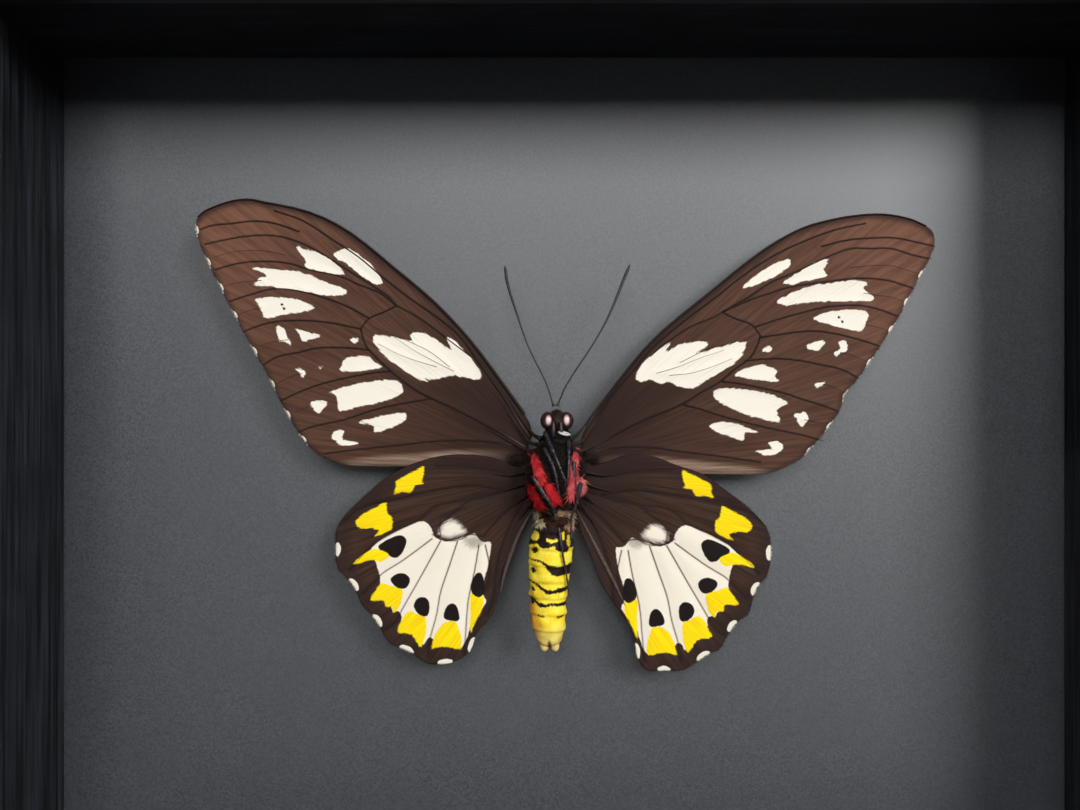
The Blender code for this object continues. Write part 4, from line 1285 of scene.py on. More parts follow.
@dataclass
class Wing:
    """A pleated membrane with raised veins, frayed marks and a fringe.

    Attributes:
        node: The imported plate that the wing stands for.
        side: -1 for the left wing and 1 for the right one.
        lunules: Middles of the pale marks on the margin.
        marks: For each field that the material reads, the outlines of its marks.
        lift: Way that the membrane between the veins stands: 1 towards the card, -1 to the glass.
        folds: Creases of the membrane between the veins.
        stout: Veins that are thicker than the others.
        bases: Stout stems that join the veins to the thorax.
        cell: Width of the membrane's faces.
    """

    node: str
    side: float
    veins: dict[str, Drawing]
    lunules: Drawing
    marks: dict[str, dict[str, Drawing]]
    lift: float
    scales: ForewingScales | HindwingScales
    slot: str
    folds: list[Drawing] = field(default_factory=list)
    dots: Drawing = field(default_factory=list)
    band: Drawing = field(default_factory=list)
    stout: tuple[str, ...] = ("radius", "cubitus")
    bases: list[Drawing] = field(default_factory=list)
    inner_fold: Drawing = field(default_factory=list)
    costa_radius: float = 0.32 * MM
    cell: float = 0.42 * MM
    thickness: float = 0.12 * MM
    pleat: float = 0.22 * MM
    vein_radius: float = 0.13 * MM
    base_rise: float = 3.4 * MM
    base_radius: float = 0.8 * MM
    base_taper: float = 0.77 * MM
    fringe_pitch: float = 0.1 * MM
    fringe_length: float = 0.55 * MM
    seed: int = 1

    ROOT_RISE = 6.9 * MM

    def root(self) -> tuple[float, float]:
        """Return (x, z) of the point that the drawings are measured from."""
        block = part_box("support_block")
        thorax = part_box("thorax")
        return (block[0].x + block[1].x) / 2.0, (thorax[0].z + thorax[1].z) / 2.0 + self.ROOT_RISE

    def drawn(self, points: np.ndarray) -> np.ndarray:
        """Turn places in the specimen into places on the drawing, in mm."""
        x, z = self.root()
        return np.column_stack([self.side * (points[:, 0] - x), points[:, 2] - z]) / MM

    def in_place(self, drawn: np.ndarray, depth: np.ndarray | float) -> np.ndarray:
        """Turn places on the drawing, in mm, into places in the specimen at a depth."""
        x, z = self.root()
        across = x + self.side * drawn[:, 0] * MM
        return np.column_stack([across, across * 0.0 + depth, z + drawn[:, 1] * MM])

    def surface(self, drawn: np.ndarray) -> np.ndarray:
        """Return the depth (y) of the wing's outer surface at places on the drawing.

        Args:
            drawn: Places on the drawing, in mm.

        Returns:
            The depth of each place, in metres.
        """
        from_vein = path_distance(drawn, list(self.veins.values()), reach=3.0)
        from_fold = path_distance(drawn, self.folds, reach=3.0) if self.folds else 3.0
        membrane = 1.0 - np.exp(-((from_vein / 1.3) ** 2))
        crease = np.exp(-((from_fold / 0.8) ** 2))
        ripple = roughened(np.column_stack([drawn, drawn[:, 0] * 0.0]) * MM, 7.0 * MM, self.seed)
        rise = self.pleat * (membrane * (1.0 - 0.7 * crease) + 0.15 * ripple)
        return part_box(self.node)[0].y + self.lift * rise

    def plate_front(self) -> bmesh.types.BMesh:
        """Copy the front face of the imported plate.

        Returns:
            The open face.
        """
        bm = bmesh.new()
        bm.from_mesh(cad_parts[self.node].data)
        bmesh.ops.remove_doubles(bm, verts=bm.verts, dist=MICRON)
        back = [face for face in bm.faces if face.normal.y > -0.9]
        bmesh.ops.delete(bm, geom=back, context="FACES")
        return bm

    def membrane(self) -> bmesh.types.BMesh:
        """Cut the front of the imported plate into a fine, pleated sheet.

        Returns:
            The sheet, with its thickness.
        """
        bm = self.plate_front()
        bmesh.ops.dissolve_faces(bm, faces=bm.faces)
        low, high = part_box(self.node)
        for axis in (0, 2):
            strips = int((high[axis] - low[axis]) / self.cell)
            slice_up(bm, list(bm.faces), axis, low[axis], high[axis], strips)
        places = corners_of(bm)
        for vert, depth in zip(bm.verts, self.surface(self.drawn(places))):
            vert.co.y = depth
        bmesh.ops.recalc_face_normals(bm, faces=bm.faces)
        if sum(face.normal.y for face in bm.faces) > 0.0:
            bmesh.ops.reverse_faces(bm, faces=bm.faces)
        bmesh.ops.solidify(bm, geom=bm.faces, thickness=self.thickness)
        for face in bm.faces:
            face.smooth = True
        return bm

    def add_veins(self, bm: bmesh.types.BMesh) -> None:
        """Raise the veins and the finer creases on the outer surface.

        Args:
            bm: The wing's mesh.
        """
        for name, drawing in list(self.veins.items()) + [("fold", fold) for fold in self.folds]:
            path = flowing(drawing, 6)
            outward = np.hypot(path[:, 0], path[:, 1])
            if outward[0] > outward[-1]:
                path = path[::-1]
            stoutness = 1.7 if name in self.stout else 0.45 if name == "fold" else 1.0
            share = shares(path)
            radii = self.vein_radius * stoutness * (1.15 - 0.6 * share)
            depth = self.surface(path) - 0.25 * radii
            sweep(bm, self.in_place(path, depth), radii, 6, material=1)

    def leading_edge(self) -> np.ndarray:
        """Find the part of the outline that runs from the wing's root to its tip.

        Returns:
            Its points on the drawing, in mm.
        """
        outline = self.outline()
        tip = int(np.argmax(np.hypot(*outline.T)))
        start = int(np.argmin(outline[:, 0] - 0.6 * outline[:, 1]))
        ordered = np.roll(outline, -start, axis=0)
        reach = (tip - start) % len(outline)
        one_way = ordered[:reach + 1]
        other_way = np.vstack([ordered[:1], ordered[reach:][::-1]])
        return one_way if one_way[:, 1].mean() > other_way[:, 1].mean() else other_way

    def add_costa(self, bm: bmesh.types.BMesh) -> None:
        """Thicken the leading edge from the root to the tip.

        Args:
            bm: The wing's mesh.
        """
        path = flowing(self.leading_edge()[::3], 3)
        share = shares(path)
        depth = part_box(self.node)[0].y + 0.5 * self.thickness
        sweep(bm, self.in_place(path, depth), self.costa_radius * (1.2 - 0.75 * share), 8, material=1)

    def add_bases(self, bm: bmesh.types.BMesh) -> None:
        """Join the wing to the thorax with tapering vein bases, and fold its inner edge.

        Args:
            bm: The wing's mesh.
        """
        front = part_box(self.node)[0].y
        for base in self.bases:
            path = flowing(base, 6)
            share = shares(path)
            depth = front - self.base_rise * (1.0 - share) ** 1.6 - 0.1 * MM
            radii = self.base_radius - self.base_taper * share ** 0.5
            sweep(bm, self.in_place(path, depth), radii, 10, material=2)
        if self.inner_fold:
            path = flowing(self.inner_fold, 8)
            share = shares(path)
            radii = (0.06 + 0.42 * np.sin(math.pi * share)) * MM
            sweep(bm, self.in_place(path, front - 0.15 * MM), radii, 10, material=3)

    def outline(self) -> np.ndarray:
        """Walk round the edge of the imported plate's front.

        Returns:
            The wing's outline on the drawing, in mm.
        """
        bm = self.plate_front()
        vert = next(edge for edge in bm.edges if edge.is_boundary).verts[0]
        order = [vert]
        edge = next(item for item in vert.link_edges if item.is_boundary)
        while True:
            vert = edge.other_vert(vert)
            if vert is order[0]:
                break
            order.append(vert)
            edge = next(item for item in vert.link_edges if item.is_boundary and item is not edge)
        places = np.array([vert.co for vert in order])
        bm.free()
        return self.drawn(places)

    def write_fields(self, mesh: bpy.types.Mesh, drawn: np.ndarray, outline: np.ndarray) -> None:
        """Store what the materials read: places on the fan and distances from marks.

        Args:
            mesh: The wing's mesh.
            drawn: Its vertices on the drawing, in mm.
            outline: The wing's outline on the drawing, in mm.
        """
        write_field(mesh, "around", np.arctan2(drawn[:, 1] + 6.0, drawn[:, 0] + 2.0))
        write_field(mesh, "outward", np.hypot(drawn[:, 0], drawn[:, 1]) * MM)
        write_field(mesh, "vein", path_distance(drawn, list(self.veins.values()), reach=4.0))
        lead = self.leading_edge()
        write_field(mesh, "lead", line_distance(drawn, lead[:-1], lead[1:]))
        write_field(mesh, "edge", line_distance(drawn, outline, np.roll(outline, -1, axis=0)))
        for name, drawings in self.marks.items():
            write_field(mesh, name, mark_distance(drawn, list(drawings.values())))
        for name, points in (("lunule", self.lunules), ("dot", self.dots)):
            gaps = [np.hypot(*(drawn - np.array(point)).T) for point in points]
            write_field(mesh, name, np.min(gaps, axis=0) if gaps else np.full(len(drawn), 9.0))
        if self.band:
            write_field(mesh, "band", mark_distance(drawn, [self.band]))

    def fringe(self, outline: np.ndarray) -> Tuft:
        """Grow the short scales that stand out from the wing's margin.

        Args:
            outline: The wing's outline on the drawing, in mm.

        Returns:
            The scales.
        """
        random = np.random.default_rng(self.seed)
        ahead = np.roll(outline, -1, axis=0)
        lengths = np.hypot(*(ahead - outline).T)
        total = lengths.sum()
        count = int(total * MM / self.fringe_pitch)
        stops = np.sort(random.uniform(0.0, total, count))
        reached = np.concatenate([[0.0], np.cumsum(lengths)])
        index = np.clip(np.searchsorted(reached, stops, side="right") - 1, 0, len(outline) - 1)
        share = ((stops - reached[index]) / lengths[index])[:, None]
        points = outline[index] * (1.0 - share) + ahead[index] * share
        run = (ahead[index] - outline[index]) / lengths[index][:, None]
        area = 0.5 * np.sum(outline[:, 0] * ahead[:, 1] - ahead[:, 0] * outline[:, 1])
        out = np.column_stack([run[:, 1], -run[:, 0]]) * math.copysign(1.0, area)
        out += run * random.normal(0.0, 0.45, count)[:, None]
        far = points[:, 0] > 0.55 * outline[:, 0].max()
        low = points[:, 1] < outline[:, 1].max() - 6.0
        reach = self.fringe_length / MM * random.uniform(0.4, 1.0, count) * np.where(far & low, 1.0, 0.45)
        tips = points + out * reach[:, None]
        depth = self.surface(points) + self.thickness / 2.0
        gaps = np.min([np.hypot(*(points - np.array(spot)).T) for spot in self.lunules], axis=0)
        pale = (gaps < 1.7).astype(float) * random.uniform(0.6, 1.0, count)
        return Tuft(self.in_place(points, depth), self.in_place(tips, depth),
                    np.full(count, 0.045 * MM), np.zeros((count, 3)), pale)

    def build(self) -> bpy.types.Object:
        """Build the wing and its fringe.

        Returns:
            The wing.
        """
        bm = self.membrane()
        self.add_veins(bm)
        self.add_costa(bm)
        self.add_bases(bm)
        base_skin = Cuticle(f"{self.node}_base_cuticle", tone(16, 10, 8), tone(62, 46, 38), 0.6, 0.25)
        fold_skin = PlainStuff(f"{self.node}_fold", tone(56, 41, 36), tone(98, 80, 73), 0.8,
                               2400.0, 0.03 * MM)
        materials = [self.scales.material(), VeinCuticle(f"{self.node}_veins").material(),
                     base_skin.material(), fold_skin.material()]
        wing = placed(self.node + "_scaled", bm, materials, (self.node,))
        outline = self.outline()
        self.write_fields(wing.data, self.drawn(vertices_of(wing.data)), outline)
        hairs = HairColours(f"{self.node}_fringe", tone(44, 30, 26), tone(240, 232, 214), 0.8)
        grow(self.node + "_fringe", self.fringe(outline), hairs)
        return wing


def turned(drawings: dict[str, Drawing], degrees: float, size: float,
           shift: tuple[float, float]) -> dict[str, Drawing]:
    """Place a set of drawings a little differently, as the right wing lies on its pins.

    Args:
        drawings: The drawings by name.
        degrees: Turn about the wing's root.
        size: Growth factor.
        shift: Move after the turn, in mm.

    Returns:
        The placed drawings.
    """
    cosine = size * math.cos(math.radians(degrees))
    sine = size * math.sin(math.radians(degrees))
    return {name: [(cosine * u - sine * v + shift[0], sine * u + cosine * v + shift[1])
                   for u, v in points] for name, points in drawings.items()}


@dataclass
class Wings:
    """The four spread wings."""

    right_turn: float = 0.7
    right_growth: float = 1.011
    right_shift: tuple[float, float] = (-1.35, -1.2)
    # Outline of the lower part of the forewing's cell, which painted shade darkens.
    shaded_cell_floor: Drawing = field(default_factory=lambda: [
        (8, 0), (20, 6.5), (32, 12.5), (40, 18.5), (36, 17), (30, 15), (20, 15.5), (15, 12)])
    smudge: Drawing = field(default_factory=lambda: [
        (22, -22), (20, -21), (17, -21.5), (17, -23.5), (20, -24.5)])
    fore_bases: list[Drawing] = field(default_factory=lambda: [
        [(3.4, 1.6), (5.2, 2.6), (7.4, 5.4), (11, 11)],
        [(3.4, 0.2), (6, 0.8), (8.6, 4), (13, 10.6)],
        [(3.6, -1.2), (6.4, -1.2), (10, 0.6), (16, 3.8)],
    ])
    hind_bases: list[Drawing] = field(default_factory=lambda: [
        [(4.4, -5), (7, -6), (11, -7), (17, -6.6)],
        [(4.6, -6.6), (7, -8.6), (10, -10), (16, -11.8)],
        [(4.4, -8.4), (6.4, -11), (8.4, -13), (12, -16)],
        [(4, -10), (5.6, -13), (7.8, -16.4), (10.6, -21)],
    ])
    inner_folds: dict[str, Drawing] = field(default_factory=lambda: {
        "left": [(5.2, -15), (8.6, -21), (11.6, -29), (13, -35)],
        "right": [(4.7, -14.6), (9.4, -23.6), (13.2, -31), (16.6, -38)],
    })

    def forewings(self) -> list[Wing]:
        """Describe the two forewings.

        Returns:
            The left one and the right one.
        """
        made = []
        for label, side, white, veins, folds, lunules, dots, band in (
            ("left", -1.0, FOREWING_LEFT_WHITE, FOREWING_LEFT_VEINS, FOREWING_LEFT_FOLDS,
             FOREWING_LEFT_LUNULES, [(64.7, 33.3), (64.2, 32.3)],
             [(8, -1.5), (20, -1), (33, -2), (46, -3), (52, -5), (40, -7), (20, -7), (8, -5)]),
            ("right", 1.0, FOREWING_RIGHT_WHITE, FOREWING_RIGHT_VEINS, FOREWING_RIGHT_FOLDS,
             FOREWING_RIGHT_LUNULES, [(67.2, 30.3), (68, 29.2)],
             [(8, -3), (20, -2.5), (33, -3.5), (46, -5), (52, -7), (40, -9), (20, -9), (8, -7)]),
        ):
            made.append(Wing(f"forewing_{label}", side, veins, lunules,
                             {"white": white, "cellward": {"cell": self.shaded_cell_floor}}, 1.0,
                             ForewingScales(f"forewing_{label}_scales"), "forewing",
                             folds=folds, dots=dots, band=band, bases=self.fore_bases,
                             seed=11 + int(side)))
        return made

    def hindwings(self) -> list[Wing]:
        """Describe the two hindwings, which share one drawing.

        Returns:
            The left one and the right one.
        """
        made = []
        for label, side in (("left", -1.0), ("right", 1.0)):
            sets = [HINDWING_CREAM, HINDWING_YELLOW, HINDWING_SPOTS, HINDWING_DUSTED,
                    HINDWING_VEINS, {"lunules": HINDWING_LUNULES}]
            if side > 0.0:
                sets = [turned(drawings, self.right_turn, self.right_growth, self.right_shift)
                        for drawings in sets]
            cream, yellow, spots, dusted, veins, lunules = sets
            made.append(Wing(f"hindwing_{label}", side, veins, lunules["lunules"],
                             {"cream": cream, "yellow": yellow, "spot": spots,
                              "dusted": dusted, "smudge": {"corner": self.smudge}}, -1.0,
                             HindwingScales(f"hindwing_{label}_scales"), "hindwing",
                             bases=self.hind_bases, inner_fold=self.inner_folds[label],
                             costa_radius=0.12 * MM, vein_radius=0.075 * MM,
                             seed=21 + int(side)))
        return made

    def build(self) -> None:
        """Build all four wings."""
        for wing in self.forewings() + self.hindwings():
            wing.build()


# Body ---------------------------------------------------------------------------------------

@dataclass
class Thorax:
    """A rounded black thorax under thick down, with red tufts at the wing roots.

    Attributes:
        tufts: For each tuft, its middle line as (x, z) in mm, its half width in mm, the number
            of its hairs and its two colours.
    """

    hair_count: int = 8000
    hair_length: float = 1.3 * MM
    seed: int = 5
    tufts: dict[str, tuple[Drawing, float, int, Colour, Colour]] = field(default_factory=lambda: {
        "red_upper_left": ([(-8.3, 112.6), (-7.3, 110.6), (-6.3, 108.2), (-5.6, 105.9)], 0.75, 900,
                           tone(196, 6, 20), tone(255, 84, 88)),
        "red_lower_middle": ([(-4.6, 105.4), (-3.5, 103.4), (-2.2, 101.2)], 0.7, 500,
                             tone(200, 6, 22), tone(255, 60, 66)),
        "crimson_lower_left": ([(-9.6, 105.6), (-8.3, 104.2), (-7.4, 102.2), (-5.8, 100.0)], 0.75,
                               750, tone(120, 2, 12), tone(214, 24, 34)),
        "pink_upper_right": ([(2.9, 113.0), (2.0, 110.8), (1.6, 108.0), (1.3, 105.2),
                              (0.8, 101.8)], 0.7, 1000, tone(228, 38, 50), tone(255, 138, 138)),
        "pink_lower_right": ([(2.6, 106.4), (3.5, 104.8), (3.6, 103.0)], 0.9, 420,
                             tone(224, 36, 48), tone(255, 164, 160)),
        "root_down_left": ([(-8.6, 111.0), (-10.4, 110.5), (-12.4, 110.3)], 0.8, 600,
                           tone(18, 12, 10), tone(60, 41, 33)),
        "root_down_right": ([(3.9, 111.4), (5.2, 110.7), (7.0, 110.2)], 0.8, 600,
                            tone(18, 12, 10), tone(60, 41, 33)),
        "dark_cover": ([(-6.4, 98.8), (-4.4, 97.6), (-2.6, 97.2), (-0.9, 97.6), (1.2, 98.8)], 1.6,
                       1500, tone(16, 11, 9), tone(96, 66, 44)),
        "cream_left": ([(-6.3, 98.6), (-6.0, 97.4), (-5.8, 95.8)], 0.8, 420, tone(176, 150, 110),
                       tone(236, 222, 184)),
        "cream_right": ([(-2.2, 98.2), (-0.6, 97.8), (0.8, 97.0), (0.7, 95.4)], 0.9, 620,
                        tone(190, 116, 66), tone(252, 236, 200)),
    })

    def middle_and_radii(self) -> tuple[np.ndarray, np.ndarray]:
        """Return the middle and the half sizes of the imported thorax."""
        low, high = (np.array(corner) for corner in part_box("thorax"))
        return (low + high) / 2.0, (high - low) / 2.0

    def body(self) -> None:
        """Shape the thorax under its down, with an uneven swell and a furrow down the middle."""
        middle, radii = self.middle_and_radii()
        bm = bmesh.new()
        bmesh.ops.create_uvsphere(bm, u_segments=64, v_segments=40, radius=1.0)
        bmesh.ops.scale(bm, vec=Vector(radii - 0.25 * MM), verts=bm.verts)
        bmesh.ops.translate(bm, vec=Vector(middle), verts=bm.verts)
        places = corners_of(bm)
        swell = roughened(places, 5.0 * MM, self.seed)
        furrow = np.exp(-(((places[:, 0] - middle[0]) / (0.7 * MM)) ** 2))
        for vert, up, dip in zip(bm.verts, swell, furrow):
            vert.co += vert.normal * (0.2 * MM * up - 0.35 * MM * dip * (vert.normal.y < 0.0))
        for face in bm.faces:
            face.smooth = True
        skin = Cuticle("thorax_cuticle", tone(9, 7, 7), tone(24, 17, 14), 0.7, 0.12)
        placed("thorax_body", bm, [skin.material()], ("thorax",))

    def down(self) -> None:
        """Grow the black and umber down over the thorax and on to the wing roots."""
        random = np.random.default_rng(self.seed)
        middle, radii = self.middle_and_radii()
        heading = unit(random.normal(size=(self.hair_count, 3)))
        roots = middle + heading * (radii - 0.3 * MM)
        normal = unit(heading / radii)
        lie = np.array([0.0, 0.0, -1.0]) + np.column_stack([
            np.sign(heading[:, 0]) * 0.8 * np.abs(heading[:, 0]), heading[:, 0] * 0.0,
            heading[:, 0] * 0.0])
        run = 0.45 * normal + lie + random.normal(0.0, 0.3, (self.hair_count, 3))
        run = unit(run)
        length = self.hair_length * random.uniform(0.5, 1.2, self.hair_count)
        tips = roots + run * length[:, None]
        bend = normal * (0.18 * length)[:, None]
        shades = random.uniform(0.0, 1.0, self.hair_count) ** 2
        tuft = Tuft(roots, tips, np.full(self.hair_count, 0.06 * MM), bend, shades)
        hairs = HairColours("black_down", tone(12, 9, 9), tone(66, 44, 32))
        grow("thorax_down_black", tuft, hairs)

    def tuft(self, name: str, path: Drawing, half_width: float, count: int, low: Colour,
             high: Colour, seed: int) -> None:
        """Grow one coloured tuft of down.

        Args:
            name: Name of the tuft.
            path: Its middle line, as (x, z) in mm.
            half_width: Half of its width in mm.
            count: Number of its hairs.
            low: Its darkest colour.
            high: Its brightest colour.
            seed: Picks where the hairs stand.
        """
        random = np.random.default_rng(seed)
        line = flowing(path, 12)
        spot = random.integers(0, len(line) - 1, count)
        run = unit(line[spot + 1] - line[spot])
        across = np.column_stack([-run[:, 1], run[:, 0]])
        offset = np.clip(random.normal(0.0, 0.5, count), -1.0, 1.0)
        base = (line[spot] + across * (offset * half_width)[:, None]) * MM
        x, z = base[:, 0], base[:, 1]
        crown = np.sqrt(np.clip(1.0 - offset ** 2, 0.0, 1.0)) * 0.9 * MM
        lift = body_front(x, z) - crown + 0.35 * MM
        roots = np.column_stack([x, lift, z])
        wander = random.normal(0.0, 0.35, (count, 2))
        length = random.uniform(0.6, 1.6, count) * MM
        lie = run + across * offset[:, None] * 0.6 + wander
        tips = roots + np.column_stack([lie[:, 0], random.normal(-0.25, 0.25, count),
                                        lie[:, 1]]) * length[:, None]
        bend = np.zeros((count, 3))
        bend[:, 1] = -0.15 * length
        shades = np.clip(0.5 + 0.5 * roughened(roots, 1.8 * MM, seed)
                         + random.normal(0.0, 0.2, count), 0.0, 1.0)
        tuft = Tuft(roots, tips, np.full(count, 0.07 * MM), bend, shades)
        hairs = HairColours(name + "_hairs", low, high, 0.5)
        grow("thorax_tuft_" + name, tuft, hairs)

    def build(self) -> None:
        """Build the thorax, its down and its tufts."""
        self.body()
        self.down()
        for number, (name, shape) in enumerate(self.tufts.items()):
            self.tuft(name, *shape, seed=40 + number)


@dataclass
class Abdomen:
    """A turned, ringed abdomen with banded scales.

    The marks are drawn in mm as (across from the middle line, down from the top).
    """

    segments: int = 8
    rings: int = 112
    sides: int = 72
    lean: float = math.radians(2.2)
    bow: float = 0.8
    flattening: float = 0.88
    overlap: float = 0.34 * MM
    wrinkle: float = 0.16
    lobe_radii: tuple[float, float, float] = (1.15, 1.2, 1.9)
    lobe_turn: float = 0.25
    lobe_depth: float = 29.3
    pale_from: float = 24.0
    orange_from: float = 16.0
    girth: list[tuple[float, float]] = field(default_factory=lambda: [
        (0.0, 0.0), (0.15, 2.4), (0.6, 3.7), (2.4, 4.3), (7.0, 5.0), (11.0, 4.9), (15.0, 4.5),
        (19.0, 4.15), (23.0, 4.05), (26.0, 3.6), (28.0, 2.9), (29.0, 2.3), (29.7, 1.5),
        (30.0, 0.7), (30.1, 0.0)])
    bands: dict[str, Drawing] = field(default_factory=lambda: {
        "top_cover": [(-5.5, -1), (5.5, -1), (5.5, 6.4), (4.2, 6.8), (3.6, 7.8), (1.4, 7.4), (0.6, 6.2),
            (-1, 6.8), (-2.6, 6.6), (-3.4, 5.8), (-4.4, 6.2), (-5.5, 5.8)],
        "band_1": [(-6, 9.1), (-3.8, 9.3), (-1.6, 9.8), (0, 10.6), (1.6, 11), (3.4, 10.8), (5.5, 10.4),
            (5.5, 12.6), (3.4, 13), (1.6, 13.2), (0.2, 12.6), (-0.8, 11.2), (-2, 10.2), (-4, 9.7),
            (-6, 9.4)],
        "band_2": [(-6, 13.6), (-4.6, 14), (-3, 14.8), (-1.8, 15.4), (-0.8, 16), (0.8, 16.4), (2.4, 16),
            (5.5, 15.8), (5.5, 16.6), (3, 17), (1.2, 17.2), (-0.4, 17.2), (-1.6, 16.4), (-2.8, 15.4),
            (-4.6, 14.5), (-6, 14)],
        "band_3": [(-4.8, 18), (-3.4, 18.4), (-2.2, 19.2), (-0.6, 19.5), (0.8, 19.3), (2.4, 19.4),
            (5, 19.2), (5, 20), (2.6, 20.2), (1, 19.9), (-0.6, 20.3), (-2, 20.2), (-3.2, 19.3),
            (-4.8, 18.5)],
        "dash_left": [(-2.4, 22.1), (-1, 22.2), (-1, 22.6), (-2.2, 22.6)],
        "dash_right": [(1.8, 22.5), (3.4, 22.2), (3.4, 22.6), (2.2, 22.9)],
        "spiracle_1": [(-4.4, 7), (-3.4, 6.6), (-2.9, 7.2), (-3.4, 8), (-4.2, 7.8)],
        "spiracle_2": [(-4.2, 11.4), (-3.6, 11.2), (-3.1, 12), (-3.6, 12.7), (-4.1, 12.2)],
        "spiracle_3": [(-3.9, 15.8), (-3.3, 15.8), (-3.1, 16.5), (-3.7, 16.6)],
        "spiracle_4": [(-4, 19), (-3.4, 19), (-3.2, 19.7), (-3.8, 19.9)],
    })
    clear: dict[str, Drawing] = field(default_factory=lambda: {
        "blob": [(-4.8, 3.4), (-3.6, 3.2), (-3, 4.2), (-3.6, 5.2), (-4.8, 5)],
        "bar": [(-1.4, 4.6), (0, 4.9), (1.2, 4.6), (1.2, 5.3), (-0.2, 5.6), (-1.2, 5.3)],
        "right_streak": [(3.3, 4.4), (3.8, 4), (4.1, 6.2), (3.6, 6.4)],
        "speck": [(2, 3.4), (2.5, 3.2), (2.7, 4.8), (2.2, 4.9)],
    })

    def bowed(self, down: np.ndarray) -> np.ndarray:
        """Return how far the middle line bends to the left, in mm, at depths in mm."""
        return self.bow * np.sin(math.pi * np.clip(down / self.girth[-1][0], 0.0, 1.0))

    def radius(self, down: np.ndarray) -> np.ndarray:
        """Work out the abdomen's radius, stepped at each ring.

        Args:
            down: Distances below the top, in mm.

        Returns:
            The radius at each distance, in metres.
        """
        knots = flowing(self.girth, 6)
        plain = np.interp(down, knots[:, 0], knots[:, 1]) * MM
        length = self.girth[-1][0]
        phase = (down / length * self.segments) % 1.0
        step = np.where(phase < 0.86, phase / 0.86, (1.0 - phase) / 0.14)
        return np.maximum(plain + self.overlap * (step - 0.5) * np.minimum(1.0, plain / (2.5 * MM)), 0.0)

    def spun(self) -> bmesh.types.BMesh:
        """Turn the abdomen on its axis, then wrinkle and bow it.

        Returns:
            The abdomen, hanging from the origin.
        """
        length = self.girth[-1][0]
        down = np.linspace(0.0, length, self.rings)
        radii = self.radius(down)
        radii[0] = radii[-1] = 0.0
        bm = bmesh.new()
        profile = [bm.verts.new((radius, 0.0, -depth * MM)) for radius, depth in zip(radii, down)]
        edges = [bm.edges.new(pair) for pair in zip(profile, profile[1:])]
        bmesh.ops.spin(bm, geom=profile + edges, axis=(0.0, 0.0, 1.0), cent=(0.0, 0.0, 0.0),
                       angle=2.0 * math.pi, steps=self.sides, use_merge=True)
        bmesh.ops.remove_doubles(bm, verts=bm.verts, dist=MICRON)
        for face in bm.faces:
            face.smooth = True
        places = corners_of(bm)
        wrinkles = roughened(places * [1.0, 1.0, 2.2], 4.0 * MM, 3)
        for vert, crumple, bend in zip(bm.verts, wrinkles, self.bowed(-places[:, 2] / MM)):
            vert.co.x += (self.wrinkle * crumple - bend) * MM
            vert.co.y += self.wrinkle * MM * crumple
        bmesh.ops.scale(bm, vec=(1.0, self.flattening, 1.0), verts=bm.verts)
        bmesh.ops.rotate(bm, cent=(0.0, 0.0, 0.0), matrix=Matrix.Rotation(self.lean, 3, "Y"),
                         verts=bm.verts)
        return bm

    def add_lobes(self, bm: bmesh.types.BMesh, top: Vector) -> None:
        """Add the two lobes of the cleft tip.

        Args:
            bm: The abdomen's mesh.
            top: Where the abdomen hangs from.
        """
        for side in (-1.0, 1.0):
            lobe = bmesh.ops.create_uvsphere(bm, u_segments=24, v_segments=16, radius=1.0)["verts"]
            bmesh.ops.scale(bm, vec=Vector(self.lobe_radii) * MM, verts=lobe)
            bmesh.ops.rotate(bm, cent=(0.0, 0.0, 0.0), verts=lobe,
                             matrix=Matrix.Rotation(-side * self.lobe_turn, 3, "Y"))
            foot = Vector((-math.sin(self.lean) * self.lobe_depth * MM + side * 1.0 * MM,
                           -0.1 * MM, -self.lobe_depth * MM))
            bmesh.ops.translate(bm, vec=top + foot, verts=lobe)
            for vert in lobe:
                for face in vert.link_faces:
                    face.smooth = True

    def write_fields(self, mesh: bpy.types.Mesh, top: Vector) -> None:
        """Store what the scales read: distances from the marks and shares of the colours.

        Args:
            mesh: The abdomen's mesh.
            top: Where the abdomen hangs from.
        """
        places = vertices_of(mesh) - np.array(top)
        depth = -places[:, 2] / MM
        across = places[:, 0] / MM + depth * math.tan(self.lean) + self.bowed(depth)
        drawn = np.column_stack([across, depth])
        black = mark_distance(drawn, list(self.bands.values()))
        light = mark_distance(drawn, list(self.clear.values()))
        write_field(mesh, "black", np.maximum(black, -light))
        write_field(mesh, "tip", np.clip((depth - self.pale_from) / 6.0, 0.0, 1.0))
        write_field(mesh, "cleft", np.hypot(across * 1.3, (depth - 29.4) / 2.4))
        left = np.clip((-across - 1.2) / 2.5, 0.0, 1.0)
        write_field(mesh, "orange", np.clip(left * (depth - self.orange_from) / 8.0, 0.0, 0.6))

    def build(self) -> bpy.types.Object:
        """Build the abdomen.

        Returns:
            The abdomen.
        """
        bm = self.spun()
        low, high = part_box("abdomen")
        sag = 0.5 * self.girth[-1][0] * MM * math.sin(self.lean)
        top = Vector(((low.x + high.x) / 2.0 + sag, (low.y + high.y) / 2.0, high.z))
        bmesh.ops.translate(bm, vec=top, verts=bm.verts)
        self.add_lobes(bm, top)
        abdomen = placed("abdomen_banded", bm, [AbdomenScales().material()],
                         ("abdomen",))
        self.write_fields(abdomen.data, top)
        return abdomen


